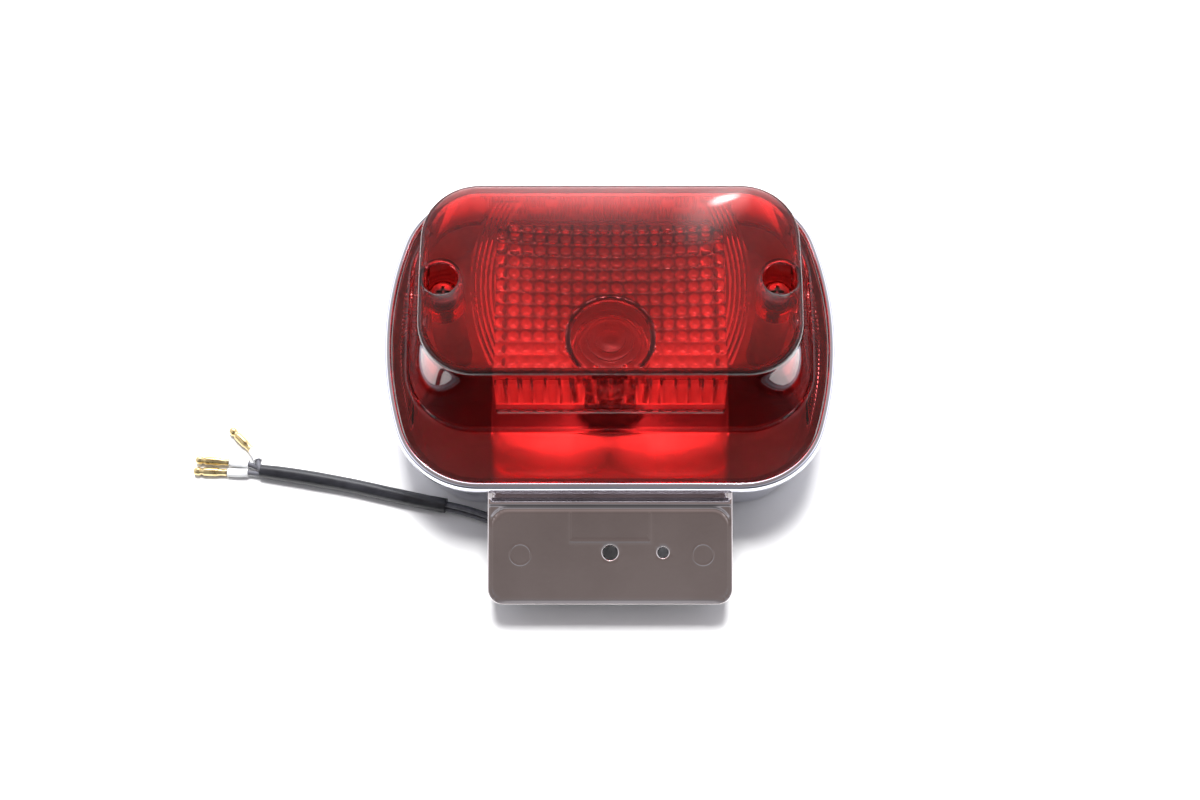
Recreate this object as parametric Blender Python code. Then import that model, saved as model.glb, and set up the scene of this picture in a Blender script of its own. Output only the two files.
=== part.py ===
"""Motorcycle tail light with its reflector bracket and wiring tail.

The lamp lies on its back. X is its width, +Y points to the top of the lamp and +Z is the way the lens
faces. Everything is placed from the lens axis, which an empty carries, so that the origin is the middle
of the lamp's footprint with its bracket.
"""

import math

import bmesh
import bpy
from mathutils import Matrix, Vector

MM = 0.001
GAP = 0.3 * MM

# The lens axis, seen from the origin
AXIS_Y = 19.26 * MM

# Outlines: half width, half height, corner radius, bow radius of the sides (None for straight sides)
RIM = (78.0 * MM, 56.6 * MM, 30.0 * MM, 121.0 * MM)
BLOCK_BASE = (69.2 * MM, 40.7 * MM, 23.5 * MM, 600.0 * MM)
BLOCK_FACE = (62.7 * MM, 34.2 * MM, 19.0 * MM, 600.0 * MM)
REFLECTOR = (40.5 * MM, 43.5 * MM, 11.0 * MM, None)
RIM_Y = -2.1 * MM
BLOCK_Y = 2.7 * MM
REFLECTOR_Y = -8.0 * MM
SIDE_STEPS = 2
CORNER_STEPS = 5

# Heights above the surface the lamp lies on
RIM_TOP = 32.0 * MM
LEDGE = 26.2 * MM
FLOOR = 2.8 * MM
FLANGE_BOTTOM = 27.8 * MM
FLANGE_TOP = 30.8 * MM
FACE_EDGE = 67.0 * MM
CROWN = 0.9 * MM
LENS_WALL = 2.6 * MM
REFLECTOR_FLOOR = 14.3 * MM
REFLECTOR_TOP = 25.6 * MM

# Housing wall: it leans out from the back to the rim
WALL_LOW = 1.5 * MM
WALL_HIGH = 26.4 * MM
INSET_LOW = 5.9 * MM
INSET_HIGH = 2.7 * MM
DRAFT = math.atan2(INSET_LOW - INSET_HIGH, WALL_HIGH - WALL_LOW)
HOUSING_WALL = 2.4 * MM

# Lens screws
SCREW_X = 55.7 * MM
SCREW_Y = 2.4 * MM
TUBE_BOTTOM = 45.0 * MM
RECESS_FLOOR = 52.0 * MM
RECESS_R = 5.8 * MM

# Mounting inserts
INSERT_X = 30.0 * MM
INSERT_Y = 26.0 * MM
INSERT_R = 4.2 * MM
INSERT_BORE_R = 2.6 * MM
INSERT_LENGTH = 10.0 * MM

# Bulb and socket, on their own axis
BULB_Y = -18.6 * MM
BASE_BOTTOM = 14.0 * MM
BASE_R = 7.5 * MM
BULB_LENGTH = 47.6 * MM
STEM_TOP = BASE_BOTTOM + 20.0 * MM
GLASS_R = 12.5 * MM
SHELL_INNER_R = 7.8 * MM
SHELL_OUTER_R = 8.5 * MM
SHELL_BOTTOM = FLOOR + GAP
SHELL_TOP = 27.0 * MM
RIVET_Y = {"lower": BULB_Y - 12.3 * MM, "upper": BULB_Y + 12.3 * MM}
PIN_R = 1.0 * MM
PIN_HEIGHTS = (21.0 * MM, 24.0 * MM)
PUSH_TRAVEL = 2.0 * MM
TURN_TRAVEL = math.radians(20.0)

# Reflector bracket: a ledge under the rim, then a plate that slopes down to the surface
PLATE_ORIGIN = Vector((0.0, -60.7 * MM, 25.9 * MM))
PLATE_TILT = math.radians(20.0)
PLATE_HALF_W = 41.0 * MM
PLATE_LENGTH = 34.9 * MM
PLATE_DEPTH = 6.0 * MM
SHEET = 2.6 * MM
TAB_HALF_W = 21.0 * MM
TAB_BOTTOM = 4.6 * MM
TAB_SCREW_X = 14.0 * MM
TAB_SCREW_Z = 9.6 * MM
FIXING_HOLE = (0.0, 17.2 * MM, 2.5 * MM)
KEY_HOLE = (17.7 * MM, 17.2 * MM, 1.8 * MM)

# Wiring
GROMMET_X = -31.0 * MM
GROMMET_Z = 9.0 * MM
WIRE_R = 0.85 * MM
BUNDLE_R = 1.15 * MM
WIRE_ANGLES = {"brake": 90.0, "tail": 210.0, "earth": 330.0}
SLEEVE_BORE_R = 2.25 * MM
SLEEVE_R = 2.7 * MM
TERMINAL_R = 1.5 * MM
CLEAR_R = 1.55 * MM
CLEAR_BORE_R = 1.15 * MM

# Middle line of the wires in millimetres: inside the lamp, from the grommet to the sleeve, in the sleeve
INSIDE_ROUTE = [
    (-31.0, -53.1, 9.08), (-31.0, -49.2, 9.6), (-30.3, -45.0, 9.4), (-28.2, -38.0, 7.8),
    (-24.0, -29.5, 6.5), (-19.5, -21.8, 6.6), (-15.8, -18.9, 6.6), (-12.6, -18.6, 6.6),
]
OUTSIDE_ROUTE = [
    (-31.0, -53.7, 9.0), (-31.1, -57.0, 8.5), (-32.6, -60.0, 7.0), (-36.0, -61.0, 5.2),
    (-41.0, -59.6, 3.6), (-46.0, -57.6, 2.85), (-51.0, -56.0, 2.75), (-57.0, -54.6, 2.75),
    (-66.0, -52.8, 2.75), (-74.3, -50.9, 2.75), (-89.7, -47.3, 2.75), (-105.0, -44.4, 2.75),
    (-116.0, -42.6, 2.75), (-122.5, -41.7, 2.75),
]
SLEEVE_ROUTE = OUTSIDE_ROUTE[7:]
# Each wire's own way from the sleeve to the back of its terminal
TAILS = {
    "tail": [(-127.0, -42.1, 2.0), (-130.5, -42.1, 1.8), (-134.2, -41.9, 1.75)],
    "earth": [(-127.0, -38.9, 2.0), (-130.5, -38.4, 1.8), (-133.8, -38.1, 1.75)],
    "brake": [(-123.6, -38.2, 3.5), (-124.4, -36.1, 2.7), (-126.2, -33.7, 1.85)],
}
TAIL_ENDS = {
    "tail": (-146.2, -41.4, 1.75),
    "earth": (-145.8, -37.2, 1.75),
    "brake": (-134.4, -25.6, 1.75),
}

MATERIALS = {
    "chrome_plastic": ((0.78, 0.78, 0.82), 0.08, 1.0),
    "red_lens": ((0.55, 0.01, 0.01), 0.05, 0.0),
    "rubber": ((0.03, 0.03, 0.03), 0.70, 0.0),
    "silvered": ((0.80, 0.80, 0.80), 0.25, 1.0),
    "steel": ((0.62, 0.62, 0.60), 0.30, 1.0),
    "brass": ((0.75, 0.58, 0.26), 0.30, 1.0),
    "phenolic": ((0.25, 0.12, 0.06), 0.55, 0.0),
    "solder": ((0.60, 0.60, 0.62), 0.40, 1.0),
    "glass": ((0.95, 0.95, 0.95), 0.02, 0.0),
    "tungsten": ((0.35, 0.35, 0.36), 0.40, 1.0),
    "wire_grey": ((0.12, 0.12, 0.14), 0.45, 0.0),
    "pvc_black": ((0.02, 0.02, 0.025), 0.45, 0.0),
    "pvc_clear": ((0.85, 0.86, 0.85), 0.15, 0.0),
}


# Scene and materials


def clear_scene():
    for obj in list(bpy.data.objects):
        bpy.data.objects.remove(obj, do_unlink=True)


def material(name):
    """The named Principled material, made the first time it is asked for."""
    if name in bpy.data.materials:
        return bpy.data.materials[name]
    colour, roughness, metallic = MATERIALS[name]
    made = bpy.data.materials.new(name)
    made.use_nodes = True
    shader = made.node_tree.nodes["Principled BSDF"]
    shader.inputs["Base Color"].default_value = (*colour, 1.0)
    shader.inputs["Roughness"].default_value = roughness
    shader.inputs["Metallic"].default_value = metallic
    made.diffuse_color = (*colour, 1.0)
    return made


def lamp_axis():
    axis = bpy.data.objects.new("lamp_axis", None)
    axis.location = (0.0, AXIS_Y, 0.0)
    bpy.context.scene.collection.objects.link(axis)
    return axis


def add(name, data, finish, at=(0.0, 0.0, 0.0)):
    """An object under the lamp axis, with its origin at the point given."""
    obj = bpy.data.objects.new(name, data)
    bpy.context.scene.collection.objects.link(obj)
    obj.location = at
    obj.parent = bpy.data.objects["lamp_axis"]
    data.materials.append(material(finish))
    return obj


def mesh_object(name, bm, finish, at=(0.0, 0.0, 0.0)):
    bmesh.ops.recalc_face_normals(bm, faces=bm.faces[:])
    mesh = bpy.data.meshes.new(name)
    bm.to_mesh(mesh)
    bm.free()
    mesh.shade_smooth()
    mesh.set_sharp_from_angle(angle=math.radians(35.0))
    return add(name, mesh, finish, at)


def boolean(obj, tool_name, bm, operation="DIFFERENCE", at=(0.0, 0.0, 0.0)):
    """Cuts a hidden helper shape from an object, or joins it to the object."""
    tool = mesh_object(tool_name, bm, "steel", at)
    tool.hide_render = True
    tool.display_type = "WIRE"
    modifier = obj.modifiers.new(tool_name, "BOOLEAN")
    modifier.operation = operation
    modifier.solver = "EXACT"
    modifier.object = tool
    return tool


# Shapes


def outline(spec, inset=0.0):
    """One loop of a rounded rectangle: straight ends, round corners and, with a bow radius, bowed sides."""
    half_w, half_h, corner, bow = spec
    half_w -= inset
    half_h -= inset
    corner = max(corner - inset, 0.4 * MM)
    mid_y = half_h - corner
    if bow is None:
        mid_x = half_w - corner
        start = 0.0
        side = [(half_w, mid_y * k / SIDE_STEPS) for k in range(SIDE_STEPS)]
    else:
        bow -= inset
        mid_x = half_w - bow + math.sqrt((bow - corner) ** 2 - mid_y**2)
        start = math.asin(mid_y / (bow - corner))
        turns = [start * k / SIDE_STEPS for k in range(SIDE_STEPS)]
        side = [(half_w - bow + bow * math.cos(t), bow * math.sin(t)) for t in turns]
    quarter = list(side)
    for k in range(CORNER_STEPS + 1):
        turn = start + (math.pi / 2 - start) * k / CORNER_STEPS
        quarter.append((mid_x + corner * math.cos(turn), mid_y + corner * math.sin(turn)))
    quarter.append((0.0, half_h))
    left = [(-x, y) for x, y in reversed(quarter[:-1])]
    upper = quarter + left
    lower = [(x, -y) for x, y in reversed(upper[1:-1])]
    return upper + lower


def raised(points, z, y=0.0):
    return [(px, py + y, z) for px, py in points]


def circle(radius, z, steps=16):
    turns = [2 * math.pi * k / steps for k in range(steps)]
    return [(radius * math.cos(t), radius * math.sin(t), z) for t in turns]


def skin(loops, ring=False):
    """Closed solid through loops of equal length: capped at both ends, or as a ring joined end to end."""
    bm = bmesh.new()
    rows = [[bm.verts.new(point) for point in loop] for loop in loops]
    count = len(rows[0])
    pairs = list(zip(rows, rows[1:]))
    if ring:
        pairs.append((rows[-1], rows[0]))
    for low, high in pairs:
        for k in range(count):
            after = (k + 1) % count
            bm.faces.new((low[k], low[after], high[after], high[k]))
    if not ring:
        bm.faces.new(rows[0])
        bm.faces.new(rows[-1])
    return bm


def turned(profile, steps=16, ring=False):
    """Solid turned about Z from (radius, height) pairs."""
    return skin([circle(radius, z, steps) for radius, z in profile], ring)


def cylinder(radius, bottom, top, steps=16):
    return turned([(radius, bottom), (radius, top)], steps)


def tube(inner, outer, bottom, top, steps=16):
    return turned([(inner, bottom), (outer, bottom), (outer, top), (inner, top)], steps, ring=True)


def block(low, high):
    """Box between two corners."""
    bm = bmesh.new()
    bmesh.ops.create_cube(bm, size=1.0)
    for vert in bm.verts:
        vert.co = [a + (b - a) * (c + 0.5) for a, b, c in zip(low, high, vert.co)]
    return bm


def sector(inner, outer, start, end, bottom, top, steps=6):
    """Block bent round the Z axis between two angles."""
    turns = [start + (end - start) * k / steps for k in range(steps + 1)]
    rows = []
    for turn in turns:
        c, s = math.cos(turn), math.sin(turn)
        corners = ((inner, bottom), (outer, bottom), (outer, top), (inner, top))
        rows.append([(r * c, r * s, z) for r, z in corners])
    return skin(rows)


def moved(bm, x=0.0, y=0.0, z=0.0):
    bmesh.ops.translate(bm, verts=bm.verts[:], vec=(x, y, z))
    return bm


def smooth_route(points, spacing):
    """Points about evenly spaced on a smooth curve through a route in millimetres."""
    knots = [Vector(p) * MM for p in points]
    knots = [2 * knots[0] - knots[1]] + knots + [2 * knots[-1] - knots[-2]]
    fine = []
    for a, b, c, d in zip(knots, knots[1:], knots[2:], knots[3:]):
        for k in range(16):
            t = k / 16
            fine.append(
                0.5 * (2 * b + (c - a) * t + (2 * a - 5 * b + 4 * c - d) * t**2
                       + (3 * b - a - 3 * c + d) * t**3)
            )
    fine.append(knots[-2])
    length = sum((q - p).length for p, q in zip(fine, fine[1:]))
    count = max(3, round(length / spacing))
    step = length / count
    even = [fine[0]]
    travelled = 0.0
    for p, q in zip(fine, fine[1:]):
        piece = (q - p).length
        while len(even) < count and travelled + piece >= step * len(even):
            even.append(p.lerp(q, (step * len(even) - travelled) / piece))
        travelled += piece
    even.append(fine[-1])
    return even


def frames(points):
    """Sideways and upward directions at each point of a route that never runs straight up."""
    found = []
    for k, point in enumerate(points):
        ahead = points[min(k + 1, len(points) - 1)] - points[max(k - 1, 0)]
        sideways = ahead.cross(Vector((0.0, 0.0, 1.0))).normalized()
        found.append((sideways, sideways.cross(ahead).normalized()))
    return found


def beside(points, angle, radius):
    """The route moved off its middle line, as one wire of a bundle."""
    turn = math.radians(angle)
    across = math.cos(turn) * radius
    up = math.sin(turn) * radius
    return [p + side * across + lift * up for p, (side, lift) in zip(points, frames(points))]


def wire(name, points, radius, finish):
    """Round wire as a curve with filled ends."""
    curve = bpy.data.curves.new(name, "CURVE")
    curve.dimensions = "3D"
    curve.bevel_depth = radius
    curve.bevel_resolution = 2
    curve.use_fill_caps = True
    spline = curve.splines.new("POLY")
    spline.points.add(len(points) - 1)
    for target, point in zip(spline.points, points):
        target.co = (*point, 1.0)
    return add(name, curve, finish)


def hose(points, inner, outer, steps=8):
    """Hollow tube along a route."""
    loops = []
    for radius, order in ((outer, 1), (inner, -1)):
        rows = []
        for point, (sideways, lift) in zip(points, frames(points)):
            turns = [2 * math.pi * k / steps for k in range(steps)]
            rows.append([point + (sideways * math.cos(t) + lift * math.sin(t)) * radius for t in turns])
        loops += rows[::order]
    return skin(loops, ring=True)


def wall_inset(z):
    """How far the housing's outside stands in from the rim at a height."""
    return INSET_LOW + (INSET_HIGH - INSET_LOW) * (z - WALL_LOW) / (WALL_HIGH - WALL_LOW)


def wall_y(z):
    """The housing's lower outside face at a height."""
    return RIM_Y - (RIM[1] - wall_inset(z))


def wall_frame(x, z):
    """Places a tool on the lower wall, with its Z axis pointing out of the wall."""
    turn = Matrix.Rotation(math.pi / 2 + DRAFT, 4, "X")
    return Matrix.Translation((x, wall_y(z), z)) @ turn


def plate_frame():
    """Turns plate coordinates (across, down the plate, out of its face) into lamp coordinates."""
    return Matrix.Translation(PLATE_ORIGIN) @ Matrix.Rotation(PLATE_TILT, 4, "X")


# Housing


def make_housing():
    """Plated bowl with a rolled rim, a ledge for the gasket, pillars and bosses."""
    floor_edge = INSET_LOW + 0.4 * MM
    inner_low = wall_inset(4.0 * MM) + HOUSING_WALL
    profile = [
        (floor_edge + 1.2 * MM, 0.0),
        (floor_edge + 0.1 * MM, 0.5 * MM),
        (INSET_LOW, WALL_LOW),
        (INSET_HIGH, WALL_HIGH),
        (0.7 * MM, 27.2 * MM),
        (0.0, 28.2 * MM),
        (0.0, 31.0 * MM),
        (0.35 * MM, 31.7 * MM),
        (1.0 * MM, RIM_TOP),
        (1.8 * MM, 31.6 * MM),
        (2.2 * MM, 30.8 * MM),
        (2.7 * MM, 30.2 * MM),
        (2.8 * MM, LEDGE),
        (5.3 * MM, LEDGE),
        (wall_inset(24.0 * MM) + HOUSING_WALL, 24.0 * MM),
        (inner_low, 4.0 * MM),
        (inner_low + 1.2 * MM, FLOOR),
    ]
    loops = [raised(outline(RIM, inset), z, RIM_Y) for inset, z in profile]
    housing = mesh_object("housing", skin(loops), "chrome_plastic")
    for side, x in (("left", -SCREW_X), ("right", SCREW_X)):
        pillar = turned([(6.4 * MM, 1.4 * MM), (5.6 * MM, TUBE_BOTTOM - GAP)])
        boolean(housing, f"tool_pillar_{side}", pillar, "UNION", (x, SCREW_Y, 0.0))
        pilot = cylinder(2.25 * MM, 22.0 * MM, 50.0 * MM)
        boolean(housing, f"tool_pilot_{side}", pilot, at=(x, SCREW_Y, 0.0))
    for side, x in (("left", -INSERT_X), ("right", INSERT_X)):
        boss = turned([(7.6 * MM, 1.4 * MM), (7.0 * MM, REFLECTOR_FLOOR - GAP)])
        boolean(housing, f"tool_boss_{side}", boss, "UNION", (x, INSERT_Y, 0.0))
        bore = cylinder(INSERT_R + GAP, -2.0 * MM, INSERT_LENGTH + GAP)
        boolean(housing, f"tool_insert_{side}", bore, at=(x, INSERT_Y, 0.0))
    for side, x in (("left", -TAB_SCREW_X), ("right", TAB_SCREW_X)):
        frame = wall_frame(x, TAB_SCREW_Z)
        boss = cylinder(3.4 * MM, -9.0 * MM, -1.0 * MM)
        bmesh.ops.transform(boss, matrix=frame, verts=boss.verts[:])
        boolean(housing, f"tool_tab_boss_{side}", boss, "UNION")
        pilot = cylinder(1.75 * MM, -8.0 * MM, 3.0 * MM)
        bmesh.ops.transform(pilot, matrix=frame, verts=pilot.verts[:])
        boolean(housing, f"tool_tab_pilot_{side}", pilot)
    for side, y in RIVET_Y.items():
        pilot = cylinder(1.7 * MM, 0.8 * MM, 6.0 * MM, 16)
        boolean(housing, f"tool_socket_pilot_{side}", pilot, at=(0.0, y, 0.0))
    cable_hole = cylinder(4.0 * MM + GAP, -8.0 * MM, 6.0 * MM)
    bmesh.ops.transform(cable_hole, matrix=wall_frame(GROMMET_X, GROMMET_Z), verts=cable_hole.verts[:])
    boolean(housing, "tool_cable_hole", cable_hole)
    return housing


def make_inserts():
    for side, x in (("left", -INSERT_X), ("right", INSERT_X)):
        bm = tube(INSERT_BORE_R, INSERT_R, 0.0, INSERT_LENGTH)
        mesh_object(f"mounting_insert_{side}", bm, "brass", (x, INSERT_Y, 0.0))


# Lens


def crowned(spec, inset, edge_z):
    """Loops that fill an outline with a shallow dome, from the edge to near the middle."""
    loops = []
    for share in (1.0, 0.75, 0.4, 0.1):
        ring = [(x * share, y * share) for x, y in outline(spec, inset)]
        loops.append(raised(ring, edge_z + CROWN * (1 - share**2), BLOCK_Y))
    return loops


def make_lens():
    """Red cover: a flange that sits in the rim, and a tall block with leaning walls."""
    face_bottom = FACE_EDGE - LENS_WALL
    inner = crowned(BLOCK_FACE, 3.4 * MM, face_bottom)[::-1]
    inner.append(raised(outline(BLOCK_FACE, LENS_WALL), face_bottom - 0.9 * MM, BLOCK_Y))
    inner.append(raised(outline(BLOCK_BASE, LENS_WALL), 29.2 * MM, BLOCK_Y))
    inner.append(raised(outline(BLOCK_BASE, 1.8 * MM), FLANGE_BOTTOM, BLOCK_Y))
    flange = [
        raised(outline(RIM, 3.1 * MM), FLANGE_BOTTOM, RIM_Y),
        raised(outline(RIM, 3.1 * MM), FLANGE_TOP - 0.5 * MM, RIM_Y),
        raised(outline(RIM, 3.6 * MM), FLANGE_TOP, RIM_Y),
        raised(outline(BLOCK_BASE, -1.2 * MM), FLANGE_TOP, BLOCK_Y),
        raised(outline(BLOCK_BASE, -0.3 * MM), FLANGE_TOP + 0.4 * MM, BLOCK_Y),
        raised(outline(BLOCK_BASE, 0.0), FLANGE_TOP + 1.4 * MM, BLOCK_Y),
    ]
    wall = [
        raised(outline(BLOCK_FACE, -0.4 * MM), FACE_EDGE - 2.0 * MM, BLOCK_Y),
        raised(outline(BLOCK_FACE, 0.0), FACE_EDGE - 0.8 * MM, BLOCK_Y),
        raised(outline(BLOCK_FACE, 0.8 * MM), FACE_EDGE - 0.1 * MM, BLOCK_Y),
    ]
    face = crowned(BLOCK_FACE, 1.8 * MM, FACE_EDGE)
    lens = mesh_object("lens", skin(inner + flange + wall + face), "red_lens")
    for side, x in (("left", -SCREW_X), ("right", SCREW_X)):
        centre = (x, SCREW_Y, 0.0)
        post = turned([(7.2 * MM, TUBE_BOTTOM), (7.0 * MM, FACE_EDGE - 1.3 * MM)])
        boolean(lens, f"tool_tube_{side}", post, "UNION", centre)
        recess = turned(
            [
                (RECESS_R - 0.2 * MM, RECESS_FLOOR),
                (RECESS_R, FACE_EDGE - 0.8 * MM),
                (RECESS_R + 1.0 * MM, FACE_EDGE + 0.2 * MM),
                (RECESS_R + 2.0 * MM, FACE_EDGE + 3.0 * MM),
            ]
        )
        boolean(lens, f"tool_recess_{side}", recess, at=centre)
        bore = cylinder(2.4 * MM, TUBE_BOTTOM - 3.0 * MM, RECESS_FLOOR + 1.0 * MM)
        boolean(lens, f"tool_lens_bore_{side}", bore, at=centre)
    return lens


def make_gasket():
    loops = [
        raised(outline(RIM, inset), z, RIM_Y)
        for inset, z in (
            (3.15 * MM, LEDGE + GAP),
            (5.1 * MM, LEDGE + GAP),
            (5.1 * MM, FLANGE_BOTTOM - GAP),
            (3.15 * MM, FLANGE_BOTTOM - GAP),
        )
    ]
    return mesh_object("lens_gasket", skin(loops, ring=True), "rubber")


def cross_slot(obj, name, top, size, depth, at, matrix=None):
    """Cuts a cross into the top of a screw head."""
    for part, half_x, half_y in (("a", size, 0.22 * size), ("b", 0.22 * size, size)):
        bar = block((-half_x, -half_y, top - depth), (half_x, half_y, top + 1.0 * MM))
        if matrix is not None:
            bmesh.ops.transform(bar, matrix=matrix, verts=bar.verts[:])
        boolean(obj, f"tool_cross_{part}_{name}", bar, at=at)


def make_lens_screws():
    seat = RECESS_FLOOR + GAP
    washer_top = seat + 1.0 * MM
    head = washer_top + GAP
    for side, x in (("left", -SCREW_X), ("right", SCREW_X)):
        centre = (x, SCREW_Y, 0.0)
        washer = tube(2.3 * MM, 4.9 * MM, seat, washer_top)
        mesh_object(f"lens_screw_washer_{side}", washer, "rubber", centre)
        profile = [
            (1.2 * MM, 25.0 * MM),
            (1.9 * MM, 27.0 * MM),
            (1.9 * MM, head),
            (4.1 * MM, head),
            (4.1 * MM, head + 1.3 * MM),
            (3.2 * MM, head + 2.3 * MM),
            (1.6 * MM, head + 2.6 * MM),
        ]
        name = f"lens_screw_{side}"
        screw = mesh_object(name, turned(profile, 14), "steel", centre)
        cross_slot(screw, name, head + 2.6 * MM, 2.2 * MM, 1.6 * MM, centre)


# Reflector, socket and bulb


def make_reflector():
    """Silvered tray round the bulb, standing on the two mounting bosses."""
    loops = []
    for inset, z in (
        (8.0 * MM, REFLECTOR_FLOOR + 1.4 * MM),
        (6.6 * MM, REFLECTOR_FLOOR + 2.2 * MM),
        (1.5 * MM, REFLECTOR_TOP),
        (0.0, REFLECTOR_TOP),
        (5.4 * MM, REFLECTOR_FLOOR + 1.2 * MM),
        (7.0 * MM, REFLECTOR_FLOOR),
    ):
        loops.append(raised(outline(REFLECTOR, inset), z, REFLECTOR_Y))
    tray = mesh_object("reflector", skin(loops), "silvered")
    hole = cylinder(SHELL_OUTER_R + 1.4 * MM, REFLECTOR_FLOOR - 5.0 * MM, REFLECTOR_TOP)
    boolean(tray, "tool_socket_hole", hole, at=(0.0, BULB_Y, 0.0))
    return tray


def make_socket():
    """Steel shell with a base flange, a lip under the insulator and two bayonet slots."""
    profile = [
        (5.6 * MM, SHELL_BOTTOM),
        (15.5 * MM, SHELL_BOTTOM),
        (15.5 * MM, SHELL_BOTTOM + 1.0 * MM),
        (SHELL_OUTER_R, SHELL_BOTTOM + 1.0 * MM),
        (SHELL_OUTER_R, SHELL_TOP),
        (SHELL_INNER_R, SHELL_TOP),
        (SHELL_INNER_R, SHELL_BOTTOM + 1.0 * MM),
        (5.6 * MM, SHELL_BOTTOM + 1.0 * MM),
    ]
    at = (0.0, BULB_Y, 0.0)
    socket = mesh_object("bulb_socket", turned(profile, 36, ring=True), "steel", at)
    play = math.radians(9.5)
    for name, base, pin_z in (("front", 0.0, PIN_HEIGHTS[0]), ("rear", math.pi, PIN_HEIGHTS[1])):
        reach = (SHELL_INNER_R - 1.5 * MM, SHELL_OUTER_R + 2.0 * MM)
        foot = pin_z - PIN_R - PUSH_TRAVEL - 0.5 * MM
        leg_end = base + TURN_TRAVEL + play
        leg = sector(*reach, base - play, leg_end, foot, pin_z + PIN_R + GAP)
        boolean(socket, f"tool_leg_{name}", leg, at=at)
        way_in = sector(
            *reach, base + TURN_TRAVEL - play, base + TURN_TRAVEL + play, pin_z, SHELL_TOP + 2.0 * MM
        )
        boolean(socket, f"tool_way_in_{name}", way_in, at=at)
    window = block((-14.0 * MM, -3.6 * MM, 4.9 * MM), (-5.0 * MM, 3.6 * MM, 8.6 * MM))
    boolean(socket, "tool_tongue_window", window, at=at)
    head = SHELL_BOTTOM + 1.0 * MM + GAP
    shape = [(1.4 * MM, 1.1 * MM), (1.4 * MM, head), (2.6 * MM, head), (1.9 * MM, head + 1.0 * MM)]
    for side, y in RIVET_Y.items():
        hole = cylinder(1.7 * MM, 0.0, 6.0 * MM, 16)
        boolean(socket, f"tool_flange_hole_{side}", hole, at=(0.0, y, 0.0))
        mesh_object(f"socket_rivet_{side}", turned(shape, 16), "steel", (0.0, y, 0.0))


def make_contacts():
    """Fixed insulator, spring, and the plunger that carries the two contacts."""
    at = (0.0, BULB_Y, 0.0)
    bottom = SHELL_BOTTOM + 1.0 * MM + GAP
    insulator = mesh_object("socket_insulator", cylinder(7.4 * MM, bottom, 6.2 * MM), "phenolic", at)
    tongue = block((-12.0 * MM, -3.1 * MM, 5.2 * MM - GAP), (-3.0 * MM, 3.1 * MM, 8.3 * MM - GAP))
    slot = block((-7.0 * MM, -4.0 * MM, 6.2 * MM), (4.0 * MM, 4.0 * MM, 9.0 * MM))
    boolean(insulator, "tool_tongue", tongue, "UNION", at)
    boolean(insulator, "tool_tongue_trim", slot, at=at)
    carrier = mesh_object("contact_plunger", cylinder(7.3 * MM, 10.6 * MM, 12.4 * MM), "phenolic", at)
    for side, y in (("tail", -3.2 * MM), ("brake", 3.2 * MM)):
        bore = cylinder(1.2 * MM + GAP, 9.0 * MM, 13.5 * MM, 16)
        boolean(carrier, f"tool_contact_bore_{side}", bore, at=(0.0, BULB_Y + y, 0.0))
        stud = [
            (1.2 * MM, 10.7 * MM),
            (1.2 * MM, 12.7 * MM),
            (1.8 * MM, 12.7 * MM),
            (1.5 * MM, 13.6 * MM),
        ]
        mesh_object(f"socket_contact_{side}", turned(stud, 12), "brass", (0.0, BULB_Y + y, 0.0))


def make_spring():
    """Open coil between the insulator and the plunger."""
    wire_r = 0.3 * MM
    coil_r = 5.2 * MM
    turns = 2.25
    low = 6.2 * MM + GAP + wire_r
    high = 10.6 * MM - GAP - wire_r
    steps = 30
    points = []
    for k in range(steps + 1):
        share = k / steps
        turn = 2 * math.pi * turns * share
        climb = min(max((share - 0.08) / 0.84, 0.0), 1.0)
        height = low + (high - low) * climb
        points.append(Vector((coil_r * math.cos(turn), BULB_Y + coil_r * math.sin(turn), height)))
    return wire("contact_spring", points, wire_r, "steel")


def make_bulb():
    """Bayonet bulb with two offset pins, two filaments and two soldered contacts."""
    at = (0.0, BULB_Y, 0.0)
    foot = BASE_BOTTOM + 1.0 * MM
    rim = BASE_BOTTOM + 17.0 * MM
    cap = [
        (BASE_R - 0.5 * MM, foot + 1.9 * MM),
        (BASE_R, foot + 1.9 * MM),
        (BASE_R, rim),
        (BASE_R - 0.5 * MM, rim),
    ]
    base = mesh_object("bulb_base", turned(cap, 24, ring=True), "brass", at)
    for name, sign, z in (("front", 1.0, PIN_HEIGHTS[0]), ("rear", -1.0, PIN_HEIGHTS[1])):
        pin = cylinder(PIN_R, 0.0, 1.9 * MM, 12)
        turn = Matrix.Rotation(math.copysign(math.pi / 2, sign), 4, "Y")
        start = Vector((sign * (BASE_R - 0.3 * MM), 0.0, z))
        bmesh.ops.transform(pin, matrix=Matrix.Translation(start) @ turn, verts=pin.verts[:])
        boolean(base, f"tool_pin_{name}", pin, "UNION", at)
    puck = turned([(6.2 * MM, foot), (6.7 * MM, foot + 0.8 * MM), (6.7 * MM, foot + 3.6 * MM)])
    mesh_object("bulb_insulator", puck, "phenolic", at)
    for side, y in (("tail", -3.2 * MM), ("brake", 3.2 * MM)):
        dot = [
            (1.2 * MM, BASE_BOTTOM),
            (1.7 * MM, BASE_BOTTOM + 0.3 * MM),
            (1.7 * MM, foot - GAP),
        ]
        mesh_object(f"bulb_contact_{side}", turned(dot, 12), "solder", (0.0, BULB_Y + y, 0.0))
    make_glass(at)
    stem = [
        (3.6 * MM, BASE_BOTTOM + 5.5 * MM),
        (3.6 * MM, BASE_BOTTOM + 12.0 * MM),
        (2.2 * MM, STEM_TOP),
    ]
    mesh_object("bulb_stem", turned(stem, 12), "glass", at)
    make_filament("filament_brake", 3.4 * MM, BASE_BOTTOM + 28.0 * MM, 1.0 * MM)
    make_filament("filament_tail", 2.6 * MM, BASE_BOTTOM + 24.6 * MM, -1.1 * MM)


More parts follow.
